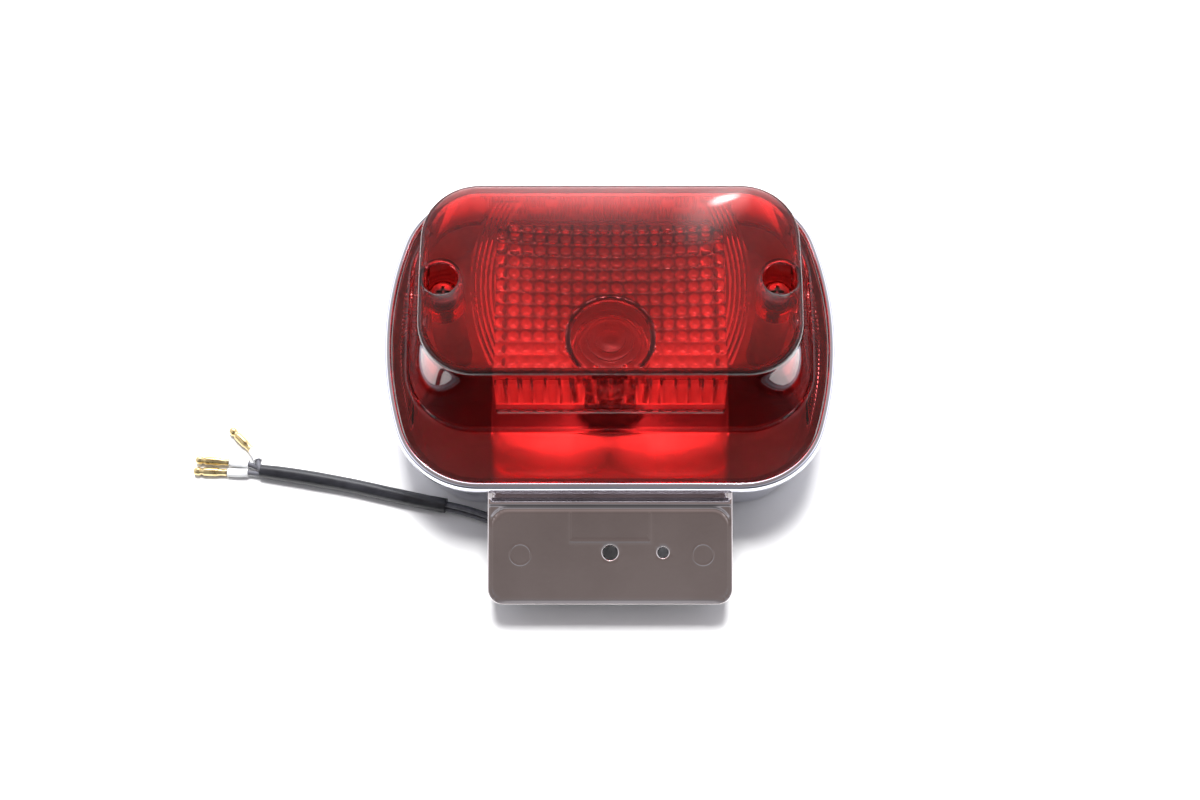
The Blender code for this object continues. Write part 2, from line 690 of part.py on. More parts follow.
def make_glass(at):
    """Blown envelope: a neck inside the base, a ball above it, open at the neck's end."""
    wall = 0.7 * MM
    top = BASE_BOTTOM + BULB_LENGTH
    ball = top - GLASS_R
    neck_r = 6.6 * MM
    neck_bottom = BASE_BOTTOM + 5.2 * MM
    reach = math.acos(neck_r / GLASS_R)
    turns = [-reach + (math.pi / 2 - 0.1 + reach) * k / 7 for k in range(8)]
    outside = [(neck_r, neck_bottom), (neck_r, ball - GLASS_R * math.sin(reach) - 6.0 * MM)]
    outside += [(GLASS_R * math.cos(t), ball + GLASS_R * math.sin(t)) for t in turns]
    inner_r = GLASS_R - wall
    inside = [(inner_r * math.cos(t), ball + inner_r * math.sin(t)) for t in reversed(turns)]
    inside += [(neck_r - wall, outside[1][1]), (neck_r - wall, neck_bottom)]
    bm = skin([circle(r, z, 20) for r, z in outside + inside], ring=False)
    bmesh.ops.delete(bm, geom=[f for f in bm.faces if len(f.verts) == 20], context="FACES_ONLY")
    close_neck(bm, neck_bottom)
    close_tops(bm, top, wall)
    return mesh_object("bulb_glass", bm, "glass", at)


def close_neck(bm, height):
    """Joins the envelope's two loops at the open end of its neck."""
    edges = [e for e in bm.edges if all(abs(v.co.z - height) < 1e-7 for v in e.verts) and e.is_boundary]
    bmesh.ops.bridge_loops(bm, edges=edges)


def close_tops(bm, top, wall):
    """Replaces the strip between the two small end circles by a cap on each."""
    strip = []
    for face in bm.faces:
        heights = [v.co.z for v in face.verts]
        spread = max(heights) - min(heights)
        if max(heights) > top - 0.5 * wall and 0.5 * wall < spread < 1.4 * wall:
            strip.append(face)
    bmesh.ops.delete(bm, geom=strip, context="FACES_ONLY")
    edges = [e for e in bm.edges if e.is_boundary]
    bmesh.ops.holes_fill(bm, edges=edges)


def make_filament(name, half_width, height, y):
    """Supports and coil as one bent wire that stands on the stem."""
    foot = STEM_TOP + GAP
    lean = 1.2 * MM
    points = [
        (-lean, y, foot + 0.3 * MM),
        (-half_width, y, foot + 3.0 * MM),
        (-half_width, y, height),
        (0.0, y, height + 0.5 * MM),
        (half_width, y, height),
        (half_width, y, foot + 3.0 * MM),
        (lean, y, foot + 0.3 * MM),
    ]
    return wire(name, [Vector((x, BULB_Y + py, z)) for x, py, z in points], 0.22 * MM, "tungsten")


# Bracket


def make_bracket():
    """Plated tray for a reflector, with a ledge under the rim and a tab screwed to the lower wall."""
    tray_spec = (PLATE_HALF_W, 0.5 * (PLATE_LENGTH + 1.0 * MM), 4.2 * MM, None)
    middle = -0.5 * (PLATE_LENGTH - 1.0 * MM)
    loops = [
        raised(outline(tray_spec, inset), z, middle)
        for inset, z in (
            (2.3 * MM, -SHEET),
            (2.3 * MM, -PLATE_DEPTH),
            (0.0, -PLATE_DEPTH),
            (0.0, -1.4 * MM),
            (0.4 * MM, -0.4 * MM),
            (1.4 * MM, 0.0),
        )
    ]
    bm = skin(loops)
    bmesh.ops.transform(bm, matrix=plate_frame(), verts=bm.verts[:])
    bracket = mesh_object("reflector_bracket", bm, "chrome_plastic")
    top = PLATE_ORIGIN.z
    inner = wall_y(top) - GAP
    ledge = block(
        (-PLATE_HALF_W, PLATE_ORIGIN.y - 1.0 * MM, top - SHEET), (PLATE_HALF_W, inner, top)
    )
    for vert in ledge.verts:
        if vert.co.y < inner - 1e-6 and vert.co.z > top - 1e-6:
            vert.co.z -= 0.36 * MM
    boolean(bracket, "tool_ledge", ledge, "UNION")
    boolean(bracket, "tool_tab", tab_solid(), "UNION")
    for name, (x, down, radius) in (("fixing", FIXING_HOLE), ("key", KEY_HOLE)):
        hole = moved(cylinder(radius, -12.0 * MM, 5.0 * MM), x, -down)
        bmesh.ops.transform(hole, matrix=plate_frame(), verts=hole.verts[:])
        boolean(bracket, f"tool_hole_{name}", hole)
    for side, x in (("left", -TAB_SCREW_X), ("right", TAB_SCREW_X)):
        hole = cylinder(1.9 * MM, -2.0 * MM, 8.0 * MM)
        bmesh.ops.transform(hole, matrix=wall_frame(x, TAB_SCREW_Z), verts=hole.verts[:])
        boolean(bracket, f"tool_tab_hole_{side}", hole)
    return bracket


def tab_solid():
    """Tab that lies against the leaning lower wall, from under the ledge down to near the back."""
    top = PLATE_ORIGIN.z - 0.6 * MM
    section = [
        (wall_y(TAB_BOTTOM) - GAP, TAB_BOTTOM),
        (wall_y(TAB_BOTTOM) - GAP - SHEET, TAB_BOTTOM),
        (wall_y(top) - GAP - SHEET, top),
        (wall_y(top) - GAP, top),
    ]
    return skin([[(x, y, z) for y, z in section] for x in (-TAB_HALF_W, TAB_HALF_W)])


def make_bracket_screws():
    seat = GAP + SHEET + GAP
    for side, x in (("left", -TAB_SCREW_X), ("right", TAB_SCREW_X)):
        profile = [
            (0.8 * MM, -7.0 * MM),
            (1.4 * MM, -5.8 * MM),
            (1.4 * MM, seat),
            (3.1 * MM, seat),
            (3.1 * MM, seat + 1.0 * MM),
            (2.2 * MM, seat + 1.9 * MM),
        ]
        name = f"bracket_screw_{side}"
        frame = wall_frame(x, TAB_SCREW_Z)
        bm = turned(profile, 14)
        bmesh.ops.transform(bm, matrix=frame, verts=bm.verts[:])
        screw = mesh_object(name, bm, "steel")
        cross_slot(screw, name, seat + 1.9 * MM, 1.7 * MM, 1.1 * MM, (0.0, 0.0, 0.0), frame)


# Wiring


def make_grommet():
    profile = [
        (2.5 * MM, -HOUSING_WALL - 1.8 * MM),
        (5.2 * MM, -HOUSING_WALL - 1.4 * MM),
        (5.2 * MM, -HOUSING_WALL - 0.4 * MM),
        (4.0 * MM, -HOUSING_WALL - 0.4 * MM),
        (4.0 * MM, GAP),
        (5.2 * MM, GAP),
        (4.8 * MM, 1.4 * MM),
        (3.4 * MM, 2.4 * MM),
        (2.5 * MM, 2.4 * MM),
    ]
    bm = turned(profile, 16, ring=True)
    bmesh.ops.transform(bm, matrix=wall_frame(GROMMET_X, GROMMET_Z), verts=bm.verts[:])
    return mesh_object("cable_grommet", bm, "rubber")


def make_wires():
    """Three wires: a lead inside the lamp, and its run outside to a terminal."""
    inside = smooth_route(INSIDE_ROUTE, 4.0 * MM)
    outside = smooth_route(OUTSIDE_ROUTE, 3.4 * MM)
    for name, angle in WIRE_ANGLES.items():
        wire(f"lead_{name}", beside(inside, 180.0 - angle, BUNDLE_R), WIRE_R, "wire_grey")
        run = beside(outside, angle, BUNDLE_R)
        tail = [Vector(p) * MM for p in TAILS[name]]
        knots = [tuple(p / MM) for p in (run[-2], run[-1], *tail)]
        wire(f"wire_{name}", run[:-2] + smooth_route(knots, 2.8 * MM), WIRE_R, "wire_grey")


def make_sleeve():
    route = smooth_route(SLEEVE_ROUTE, 7.0 * MM)
    return mesh_object("cable_sleeve", hose(route, SLEEVE_BORE_R, SLEEVE_R, 12), "pvc_black")


def make_terminals():
    """Brass bullet on each wire, with a clear sleeve over the wire behind it."""
    for name, end in TAIL_ENDS.items():
        start = Vector(TAILS[name][-1]) * MM
        along = (Vector(end) * MM - start).normalized()
        turn = along.to_track_quat("Z", "Y").to_matrix().to_4x4()
        length = (Vector(end) * MM - start).length
        profile = [
            (1.1 * MM, GAP),
            (TERMINAL_R, 0.8 * MM),
            (TERMINAL_R, length - 3.4 * MM),
            (1.15 * MM, length - 3.0 * MM),
            (1.15 * MM, length - 2.4 * MM),
            (TERMINAL_R, length - 2.0 * MM),
            (TERMINAL_R, length - 0.9 * MM),
            (0.9 * MM, length),
        ]
        bm = turned(profile, 16)
        bmesh.ops.transform(bm, matrix=Matrix.Translation(start) @ turn, verts=bm.verts[:])
        mesh_object(f"terminal_{name}", bm, "brass")
        route = smooth_route(TAILS[name], 2.4 * MM)
        mesh_object(f"terminal_sleeve_{name}", hose(route, CLEAR_BORE_R, CLEAR_R), "pvc_clear")


def main():
    clear_scene()
    lamp_axis()
    make_housing()
    make_inserts()
    make_lens()
    make_gasket()
    make_lens_screws()
    make_reflector()
    make_socket()
    make_contacts()
    make_spring()
    make_bulb()
    make_bracket()
    make_bracket_screws()
    make_grommet()
    make_wires()
    make_sleeve()
    make_terminals()


main()
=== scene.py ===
"""Looks of the motorcycle tail light: camera, wiring, then each visible piece, its finish and the studio.

Shapes are worked out in millimetres in lamp coordinates: X and Y from the lens axis, Z from the surface the
lamp lies on. place() turns them into the frame's metres.
"""

import math
from functools import partial, reduce

import bmesh
import bpy
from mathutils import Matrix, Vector, noise
from mathutils.geometry import delaunay_2d_cdt


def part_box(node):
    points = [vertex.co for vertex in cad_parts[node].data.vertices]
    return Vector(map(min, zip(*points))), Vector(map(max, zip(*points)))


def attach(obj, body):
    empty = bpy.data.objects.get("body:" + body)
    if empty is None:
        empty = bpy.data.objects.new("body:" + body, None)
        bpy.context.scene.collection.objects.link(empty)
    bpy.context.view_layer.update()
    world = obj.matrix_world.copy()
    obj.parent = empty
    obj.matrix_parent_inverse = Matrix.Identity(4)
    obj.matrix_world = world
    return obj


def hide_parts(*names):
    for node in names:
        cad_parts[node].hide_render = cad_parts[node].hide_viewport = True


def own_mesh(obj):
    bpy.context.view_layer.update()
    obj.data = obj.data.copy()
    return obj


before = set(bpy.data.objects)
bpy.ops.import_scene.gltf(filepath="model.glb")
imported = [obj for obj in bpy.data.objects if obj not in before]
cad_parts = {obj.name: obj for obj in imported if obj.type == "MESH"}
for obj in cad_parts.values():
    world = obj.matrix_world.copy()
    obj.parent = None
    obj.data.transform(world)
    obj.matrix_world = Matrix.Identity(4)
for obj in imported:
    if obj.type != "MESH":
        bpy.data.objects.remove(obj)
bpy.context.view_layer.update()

MM = 0.001
LAMP = "lamp_body"
LOW, HIGH = (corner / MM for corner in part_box("housing"))
RIM_Y = -2.1
AXIS_Y = 0.5 * (LOW.y + HIGH.y) - RIM_Y
RIM_TOP = 32.0

# Outlines: half width, half height, corner radius, bow radius of the sides (None for straight sides)
RIM = (HIGH.x, 0.5 * (HIGH.y - LOW.y), 30.0, 121.0)
BLOCK_BASE = (69.2, 40.7, 23.5, 600.0)
BLOCK_FACE = (62.7, 34.2, 19.0, 600.0)
REFLECTOR = (40.5, 44.2, 4.0, None)
BLOCK_Y = 2.7
REFLECTOR_Y = -8.7

# Heights of the housing and the lens
LEDGE = 26.2
FLOOR = 2.8
FLANGE_BOTTOM = 27.8
FLANGE_TOP = 30.8
FACE_EDGE = 67.0
FACE_INSIDE = 64.4
CROWN = 0.9
LENS_WALL = 2.6
WALL_FOOT, WALL_HEAD = 29.2, FACE_INSIDE - 0.9
FACE_ROUNDING = 1.3

# Reflector tray
REFLECTOR_FLOOR, REFLECTOR_TOP = 14.3, 25.6
RIDGE_START, RIDGE_HALF_W, RIDGE_SLOPE = -31.0, 14.0, 0.17
TRAY_HOLE_R, TRAY_SHEET = 12.2, 1.3

# Housing wall
WALL_LOW, WALL_HIGH = 1.5, 26.4
INSET_LOW, INSET_HIGH = 5.9, 2.7
HOUSING_WALL = 2.4
POST_FOOT, GAP = 1.4, 0.3
INSERT_X, INSERT_Y = 30.0, 26.0

# Lens screws
SCREW_X, SCREW_Y = 55.7, 2.4
TUBE_BOTTOM, RECESS_FLOOR, RECESS_R, POST_R = 45.0, 52.0, 5.8, 7.1

# Optics on the inside of the lens
OPTIC_HALF_W = 37.4
OPTIC_LOW, OPTIC_HIGH = -29.0, 22.1
PILLOW_W, PILLOW_H = 4.2, 4.5
PILLOW_DEPTH_LOW, PILLOW_DEPTH_HIGH = 0.46, 0.52
PILLOW_SAG = 2.2
WINDOW_LOW, WINDOW_HIGH = 45.0, 59.5
EYE_Y, EYE_R = -18.8, 14.2
BEAD_Z, BEAD_HALF_H, BEAD_SWELL = 43.0, 1.3, 0.65
BEAD_HEIGHTS = (41.7, 42.0, 42.5, 43.0, 43.5, 44.0, 44.3)
FLUTE_X, FLUTE_Y, FLUTE_R_IN, FLUTE_R_OUT, FLUTE_PITCH = 19.6, 1.5, 57.6, 65.4, 1.56
FLUTE_DEPTH, WINDOW_FLUTE_DEPTH, RIB_DEPTH = 0.24, 0.50, 0.30
FLUTE_NEAR, FLUTE_FAR = 33.5, 47.5

# Bulb and socket axis
BULB_Y = -18.6
SPRING_R, SPRING_WIRE_R, SPRING_TURNS, SPRING_LOW, SPRING_HIGH = 5.2, 0.3, 2.25, 6.5, 10.3

# Bracket
PLATE_ORIGIN = Vector((0.0, -60.7, 25.9))
PLATE_TILT = math.radians(20.0)
PLATE_HALF_W, PLATE_LENGTH, PLATE_DEPTH, SHEET = 41.0, 34.5, 6.0, 2.6
PLATE_TOP, PLATE_CORNER, LEDGE_DROP = 3.8, 5.2, 0.9
PANEL_HALF_W, PANEL_TOP, PANEL_BOTTOM, PANEL_CORNER = 39.2, -3.4, -33.4, 5.0
PLATE_HOLES = ((0.0, -17.2, 2.5), (17.7, -17.2, 1.8))
PLATE_RINGS = ((-30.1, -17.9, 3.5), (31.1, -17.9, 3.5))
PAD_HALF_W, PAD_BOTTOM = 13.4, -13.4
TAB_HALF_W, TAB_BOTTOM = 21.0, 4.6

# Wiring: the same route points as the part's, in millimetres
WIRE_R, BUNDLE_R, SLEEVE_R = 0.85, 1.15, 2.7
WIRE_ANGLES = {"brake": 90.0, "tail": 210.0, "earth": 330.0}
OUTSIDE_ROUTE = [
    (-31.0, -53.7, 9.0), (-31.1, -57.0, 8.5), (-32.6, -60.0, 7.0), (-36.0, -61.0, 5.2),
    (-41.0, -59.6, 3.6), (-46.0, -57.6, 2.85), (-51.0, -56.0, 2.75), (-57.0, -54.6, 2.75),
    (-66.0, -52.8, 2.75), (-74.3, -50.9, 2.75), (-89.7, -47.3, 2.75), (-105.0, -44.4, 2.75),
    (-116.0, -42.6, 2.75), (-122.5, -41.7, 2.75),
]
SLEEVE_ROUTE = OUTSIDE_ROUTE[7:]
TAILS = {
    "tail": [(-127.0, -42.1, 2.0), (-130.5, -42.1, 1.8), (-134.2, -41.9, 1.75)],
    "earth": [(-127.0, -38.9, 2.0), (-130.5, -38.4, 1.8), (-133.8, -38.1, 1.75)],
    "brake": [(-123.6, -38.2, 3.5), (-124.4, -36.1, 2.7), (-126.2, -33.7, 1.85)],
}
TAIL_ENDS = {"tail": (-146.2, -41.4, 1.75), "earth": (-145.8, -37.2, 1.75), "brake": (-134.4, -25.6, 1.75)}

# Finishes: noise detail, depth of the bumps, the dark red of the lens's painted shade, and how dull the lens
# gets
COARSE_DETAIL, FINE_DETAIL = 4.0, 6.0
BUMP_DEPTH = 0.0002
# Dark red painted into the lens as shade
PAINTED_SHADE_RED = (0.10, 0.022, 0.030)
FROST_ROUGHNESS = 0.34
FAR = 999.0

# Studio, in metres
HOT_SPOT = (0.0775, 0.547, 0.836)
KEY_AT = Vector((0.0, 0.55, 1.40))
KEY_SIZE, KEY_POWER = 0.6, 55.0
FLOOR_REACH = 3.0

# How close points merge, and how thin a triangle may be, when a flat region is filled
WELD, THINNEST = 1e-7, 1e-6

# Camera
CAMERA = Vector((-3.39, -251.41, 588.31))
TARGET = Vector((-3.39, -26.65, 32.0))
LENS_MM = 53.1


# Camera first


def place(point):
    return Vector((point[0] * MM, (point[1] + AXIS_Y) * MM, point[2] * MM))


def add_object(name, data):
    made = bpy.data.objects.new(name, data)
    bpy.context.scene.collection.objects.link(made)
    return made


def make_camera():
    data = bpy.data.cameras.new("camera")
    data.lens = LENS_MM
    data.sensor_width = 36.0
    data.clip_start = 0.01
    camera = add_object("camera", data)
    camera.location = place(CAMERA)
    camera.rotation_euler = (TARGET - CAMERA).to_track_quat("-Z", "Y").to_euler()
    bpy.context.scene.camera = camera


make_camera()


# Finishes


class Graph:
    """The nodes of a material or a world, and short ways to add to them."""

    def __init__(self, tree):
        self.nodes, self.links = tree.nodes, tree.links

    def feed(self, socket, value):
        """Links another node's output to a socket, or sets the socket to a plain value."""
        if isinstance(value, bpy.types.NodeSocket):
            self.links.new(value, socket)
        else:
            socket.default_value = value

    def add(self, kind, inputs=(), **settings):
        """A node with its settings and its inputs, which are given by name or number."""
        made = self.nodes.new(f"ShaderNode{kind}")
        for name, setting in settings.items():
            setattr(made, name, setting)
        for key, value in dict(inputs).items():
            self.feed(made.inputs[key], value)
        return made

    def calc(self, operation, *values):
        return self.add("Math", enumerate(values), operation=operation).outputs["Value"]

    def vector(self, operation, *values):
        made = self.add("VectorMath", enumerate(values), operation=operation)
        return made.outputs["Value" if operation == "LENGTH" else "Vector"]

    def combine(self, operation, *parts):
        return reduce(partial(self.calc, operation), parts)

    def coords(self, kind="Object"):
        return self.add("TexCoord").outputs[kind]

    def noise(self, scale, detail, stretch):
        """A noise in the piece's own coordinates, stretched where the finish has a direction."""
        mapped = self.add("Mapping", {"Vector": self.coords(), "Scale": stretch}).outputs["Vector"]
        return self.add("TexNoise", {"Vector": mapped, "Scale": scale, "Detail": detail}).outputs["Fac"]

    def ramp(self, value, stops, interpolation="LINEAR"):
        """The colour of a ramp with (position, colour) stops."""
        made = self.add("ValToRGB", {"Fac": value})
        made.color_ramp.interpolation = interpolation
        elements = made.color_ramp.elements
        for element, (position, _) in zip(elements, (stops[0], stops[-1])):
            element.position = position
        for position, _ in stops[1:-1]:
            elements.new(position)
        for element, (_, colour) in zip(elements, stops):
            element.color = (*colour, 1.0)
        return made.outputs["Color"]

    def band(self, source, low, high, soft):
        """1 between two values of a quantity in millimetres, 0 outside them, with soft ends."""
        ends = []
        for edge, inward in ((low, 1.0), (high, -1.0)):
            slope = {"Value": source, "From Min": (edge - inward * soft) * MM,
                     "From Max": (edge + inward * soft) * MM}
            ends.append(self.add("MapRange", slope, interpolation_type="SMOOTHSTEP").outputs["Result"])
        return self.combine("MULTIPLY", *ends)

    def ring(self, x, y, low, high, soft):
        """Band of distances from an upright axis through lamp coordinates x and y."""
        away = self.vector("SUBTRACT", self.coords(), place((x, y, 0.0)))
        level = self.vector("MULTIPLY", away, (1.0, 1.0, 0.0))
        return self.band(self.vector("LENGTH", level), low, high, soft)


def finish(name, dark, light, rough, metal=0.0, scale=300.0, bump=0.0, bump_scale=900.0,
           stretch=(1.0, 1.0, 1.0), sockets=()):
    """Node material: colour and roughness wander between two values, over a fine bump."""
    made = bpy.data.materials.new(name)
    made.use_nodes = True
    graph = Graph(made.node_tree)
    inputs = graph.nodes["Principled BSDF"].inputs
    wander = graph.noise(scale, COARSE_DETAIL, stretch)
    graph.feed(inputs["Base Color"], graph.ramp(wander, ((0.35, dark), (0.65, light))))
    spread = graph.add("MapRange", {"Value": wander, "To Min": rough[0], "To Max": rough[1]})
    graph.feed(inputs["Roughness"], spread.outputs["Result"])
    if bump:
        fine = graph.noise(bump_scale, FINE_DETAIL, stretch)
        relief = graph.add("Bump", {"Strength": bump, "Distance": BUMP_DEPTH, "Height": fine})
        graph.feed(inputs["Normal"], relief.outputs["Normal"])
    for socket, value in (("Metallic", metal), *sockets):
        inputs[socket].default_value = value
    made.diffuse_color = (*light, 1.0)
    return made


def clear(name, dark, light, rough, ior):
    """Clear plastic or glass, tinted, with a faint waviness in its colour and polish."""
    return finish(name, dark, light, rough, scale=120.0,
                  sockets=(("Transmission Weight", 1.0), ("IOR", ior)))


# Key, material name, dark and light colour, roughness, metal, then scale, bump, bump scale, stretch
SURFACES = (
    ("chrome", "plated_chrome", (0.74, 0.75, 0.83), (0.80, 0.81, 0.89), (0.03, 0.07), 1.0, 60.0, 0.02, 400.0),
    ("plated_sheet", "plated_sheet", (0.70, 0.64, 0.63), (0.78, 0.72, 0.71), (0.05, 0.10), 1.0, 40.0, 0.03,
     500.0),
    ("bare_abs", "bare_abs", (0.80, 0.80, 0.82), (0.86, 0.86, 0.88), (0.45, 0.60), 0.0, 400.0, 0.15, 2500.0),
    # Near black: the bracket's unpolished underside, made darker still as painted shade so its holes and the
    # space under the plate look dark
    ("dull_back", "unpolished_back", (0.020, 0.019, 0.020), (0.032, 0.031, 0.033), (0.50, 0.70), 0.0, 300.0,
     0.2, 1500.0),
    ("dark_screw", "blackened_screw", (0.20, 0.19, 0.19), (0.32, 0.31, 0.31), (0.25, 0.40), 1.0, 500.0,
     0.15, 1800.0),
    ("silvered", "silvered_plastic", (0.84, 0.84, 0.84), (0.90, 0.90, 0.90), (0.34, 0.42), 1.0, 90.0, 0.06,
     700.0),
    ("steel", "zinc_plated_steel", (0.50, 0.50, 0.48), (0.66, 0.66, 0.63), (0.22, 0.36), 1.0, 500.0, 0.15,
     1800.0),
    ("brass", "brass", (0.62, 0.47, 0.22), (0.80, 0.66, 0.36), (0.20, 0.38), 1.0, 350.0, 0.12, 1500.0),
    ("nickel", "nickel_plate", (0.80, 0.78, 0.73), (0.88, 0.86, 0.81), (0.45, 0.55), 1.0, 350.0, 0.08,
     1500.0),
    ("rubber", "black_rubber", (0.018, 0.018, 0.018), (0.035, 0.035, 0.036), (0.60, 0.80), 0.0, 700.0, 0.30,
     2600.0),
    ("foam", "grey_foam", (0.50, 0.48, 0.47), (0.62, 0.60, 0.59), (0.70, 0.90), 0.0, 900.0, 0.30, 2600.0),
    ("phenolic", "phenolic_board", (0.16, 0.07, 0.035), (0.30, 0.15, 0.08), (0.45, 0.62), 0.0, 500.0, 0.20,
     1500.0, (1.0, 6.0, 1.0)),
    ("solder", "solder", (0.45, 0.45, 0.47), (0.68, 0.68, 0.70), (0.25, 0.45), 1.0, 900.0, 0.3, 1600.0),
    ("tungsten", "tungsten", (0.24, 0.24, 0.25), (0.40, 0.40, 0.41), (0.30, 0.45), 1.0, 900.0),
    ("wire", "wire_insulation", (0.060, 0.060, 0.070), (0.090, 0.090, 0.105), (0.32, 0.48), 0.0, 500.0,
     0.10, 1200.0),
    ("pvc_black", "black_pvc_sleeve", (0.006, 0.006, 0.008), (0.015, 0.015, 0.019), (0.28, 0.46), 0.0,
     160.0, 0.35, 420.0),
)
FINISHES = {key: finish(*values) for key, *values in SURFACES}
FINISHES["glass"] = clear("bulb_glass_clear", (0.95, 0.95, 0.95), (0.98, 0.98, 0.98), (0.0, 0.01), 1.50)
FINISHES["pvc_clear"] = finish(
    "milky_pvc_sleeve", (0.84, 0.85, 0.86), (0.93, 0.94, 0.94), (0.12, 0.22), scale=400.0,
    sockets=(("Transmission Weight", 0.35), ("IOR", 1.38)))


def pillow_joint_shade(graph, axes):
    """Mask of the painted shade: 1 along the joints between the pillows and 0 on the pillows, on the same
    grid as pillow() below.
    """
    calc = graph.calc
    x = calc("DIVIDE", axes["X"], MM)
    y = calc("SUBTRACT", calc("DIVIDE", axes["Y"], MM), AXIS_Y)
    side = calc("DIVIDE", x, OPTIC_HALF_W)
    up = calc("DIVIDE", calc("SUBTRACT", y, OPTIC_LOW), OPTIC_HIGH - OPTIC_LOW)
    sag = calc("MULTIPLY", calc("MULTIPLY", calc("SUBTRACT", 1.0, calc("MULTIPLY", side, side)), up),
               PILLOW_SAG)
    row = calc("DIVIDE", calc("ADD", calc("SUBTRACT", y, OPTIC_LOW), sag), PILLOW_H)
    u = calc("MULTIPLY_ADD", calc("FRACT", calc("DIVIDE", x, PILLOW_W)), 2.0, -1.0)
    v = calc("MULTIPLY_ADD", calc("FRACT", row), 2.0, -1.0)
    reach = calc("SQRT", calc("ADD", calc("MULTIPLY", u, u), calc("MULTIPLY", v, v)))
    web = graph.band(calc("MULTIPLY", reach, MM), 0.80, 9.0, 0.22)
    inside = calc("MULTIPLY", calc("LESS_THAN", calc("ABSOLUTE", x), OPTIC_HALF_W),
                  calc("MULTIPLY", calc("GREATER_THAN", up, 0.02), calc("LESS_THAN", up, 1.0)))
    rising = graph.band(calc("MULTIPLY", up, MM), 0.16, 9.0, 0.10)
    return calc("MULTIPLY", calc("MULTIPLY", web, inside), rising)


def make_red():
    """Red moulding. Painted shade darkens its red in bands, drawing the dark that refraction and light turned
    back inside the moulding give: in the lower wall outside its window, along the edge of the face, in the
    flange away from the reflector, round the bullseye and the screw recesses, and along the joints between
    the pillows. The window, the upper wall and the lower flange are frosted."""
    made = clear("red_acrylic", (0.90, 0.130, 0.122), (0.93, 0.145, 0.136), (0.0, 0.012), 1.49)
    graph = Graph(made.node_tree)
    inputs = graph.nodes["Principled BSDF"].inputs
    axes = graph.add("SeparateXYZ", {"Vector": graph.coords()}).outputs
    across = graph.calc("ABSOLUTE", axes["X"])

    columns, levels = partial(graph.band, across), partial(graph.band, axes["Z"])

    def rows(low, high, soft):
        return graph.band(axes["Y"], low + AXIS_Y, high + AXIS_Y, soft)

    wall = rows(-60.0, -27.5, 1.0)
    # Painted shade round the screw recesses
    recess_shade = [(0.90, graph.ring(x, SCREW_Y, 5.7, 6.9, 0.2), levels(65.0, 70.0, 0.4))
                for x in (SCREW_X, -SCREW_X)]
    # Painted shade: bands where the red is darkened to draw the dark of refraction and of light turned back
    # inside the moulding
    painted_shade_zones = [
        (0.84, wall, levels(31.6, 44.6, 0.5)),
        (0.85, wall, levels(31.6, 64.6, 1.0), columns(37.8, FAR, 0.4)),
        (0.35, wall, levels(59.8, 66.2, 0.6)),
        (0.90, levels(65.7, 66.93, 0.12)),
        (0.45, levels(20.0, 31.2, 0.3), columns(39.0, FAR, 1.5)),
        (0.36, graph.ring(0.0, EYE_Y, -9.0, 13.2, 0.6)),
        (0.90, graph.ring(0.0, EYE_Y, 13.2, 14.7, 0.25), rows(OPTIC_LOW, 0.0, 0.5)),
        *recess_shade,
        (0.93, levels(62.0, 66.0, 0.2), pillow_joint_shade(graph, axes), graph.ring(0.0, EYE_Y, EYE_R, FAR, 0.2)),
    ]
    frosted_zones = [
        (0.40, wall, levels(WINDOW_LOW, WINDOW_HIGH, 0.4), columns(-1.0, OPTIC_HALF_W, 0.4)),
        (1.3, rows(33.0, 60.0, 0.5), levels(36.0, 62.5, 2.0)),
        (0.6, levels(20.0, 31.0, 0.2), rows(-60.0, -43.0, 0.3)),
    ]
    # depth is the strength of the painted shade; frost adds roughness
    depth, frost = (
        graph.combine("MAXIMUM", *(graph.combine("MULTIPLY", *parts, strength) for strength, *parts in zones))
        for zones in (painted_shade_zones, frosted_zones))
    colour = inputs["Base Color"].links[0].from_socket
    # Mixes the painted shade into the red
    shaded_colour = graph.add("Mix", {"Factor": depth, 6: colour, 7: (*PAINTED_SHADE_RED, 1.0)}, data_type="RGBA")
    graph.feed(inputs["Base Color"], shaded_colour.outputs[2])
    polish = inputs["Roughness"].links[0].from_socket
    graph.feed(inputs["Roughness"], graph.calc("MULTIPLY_ADD", frost, FROST_ROUGHNESS, polish))
    return made


FINISHES["red"] = make_red()


# Mesh tools


def as_piece(name, data, replaced, body):
    """An object that rides on a body and stands for one CAD node."""
    piece = add_object(name, data)
    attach(piece, body)
    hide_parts(replaced)
    return piece


def mesh_piece(name, shell, finishes, replaced, angle=32.0, body=LAMP):
    """A piece from a shell in lamp coordinates. The shell's part numbers choose among the finishes."""
    mesh = bpy.data.meshes.new(name)
    mesh.from_pydata([place(v) for v in shell.verts], [], shell.faces)
    for finish_name in finishes:
        mesh.materials.append(FINISHES[finish_name])
    mesh.polygons.foreach_set("material_index", shell.parts)
    bm = bmesh.new()
    bm.from_mesh(mesh)
    bmesh.ops.recalc_face_normals(bm, faces=bm.faces[:])
    bm.to_mesh(mesh)
    bm.free()
    mesh.shade_smooth()
    mesh.set_sharp_from_angle(angle=math.radians(angle))
    return as_piece(name, mesh, replaced, body)


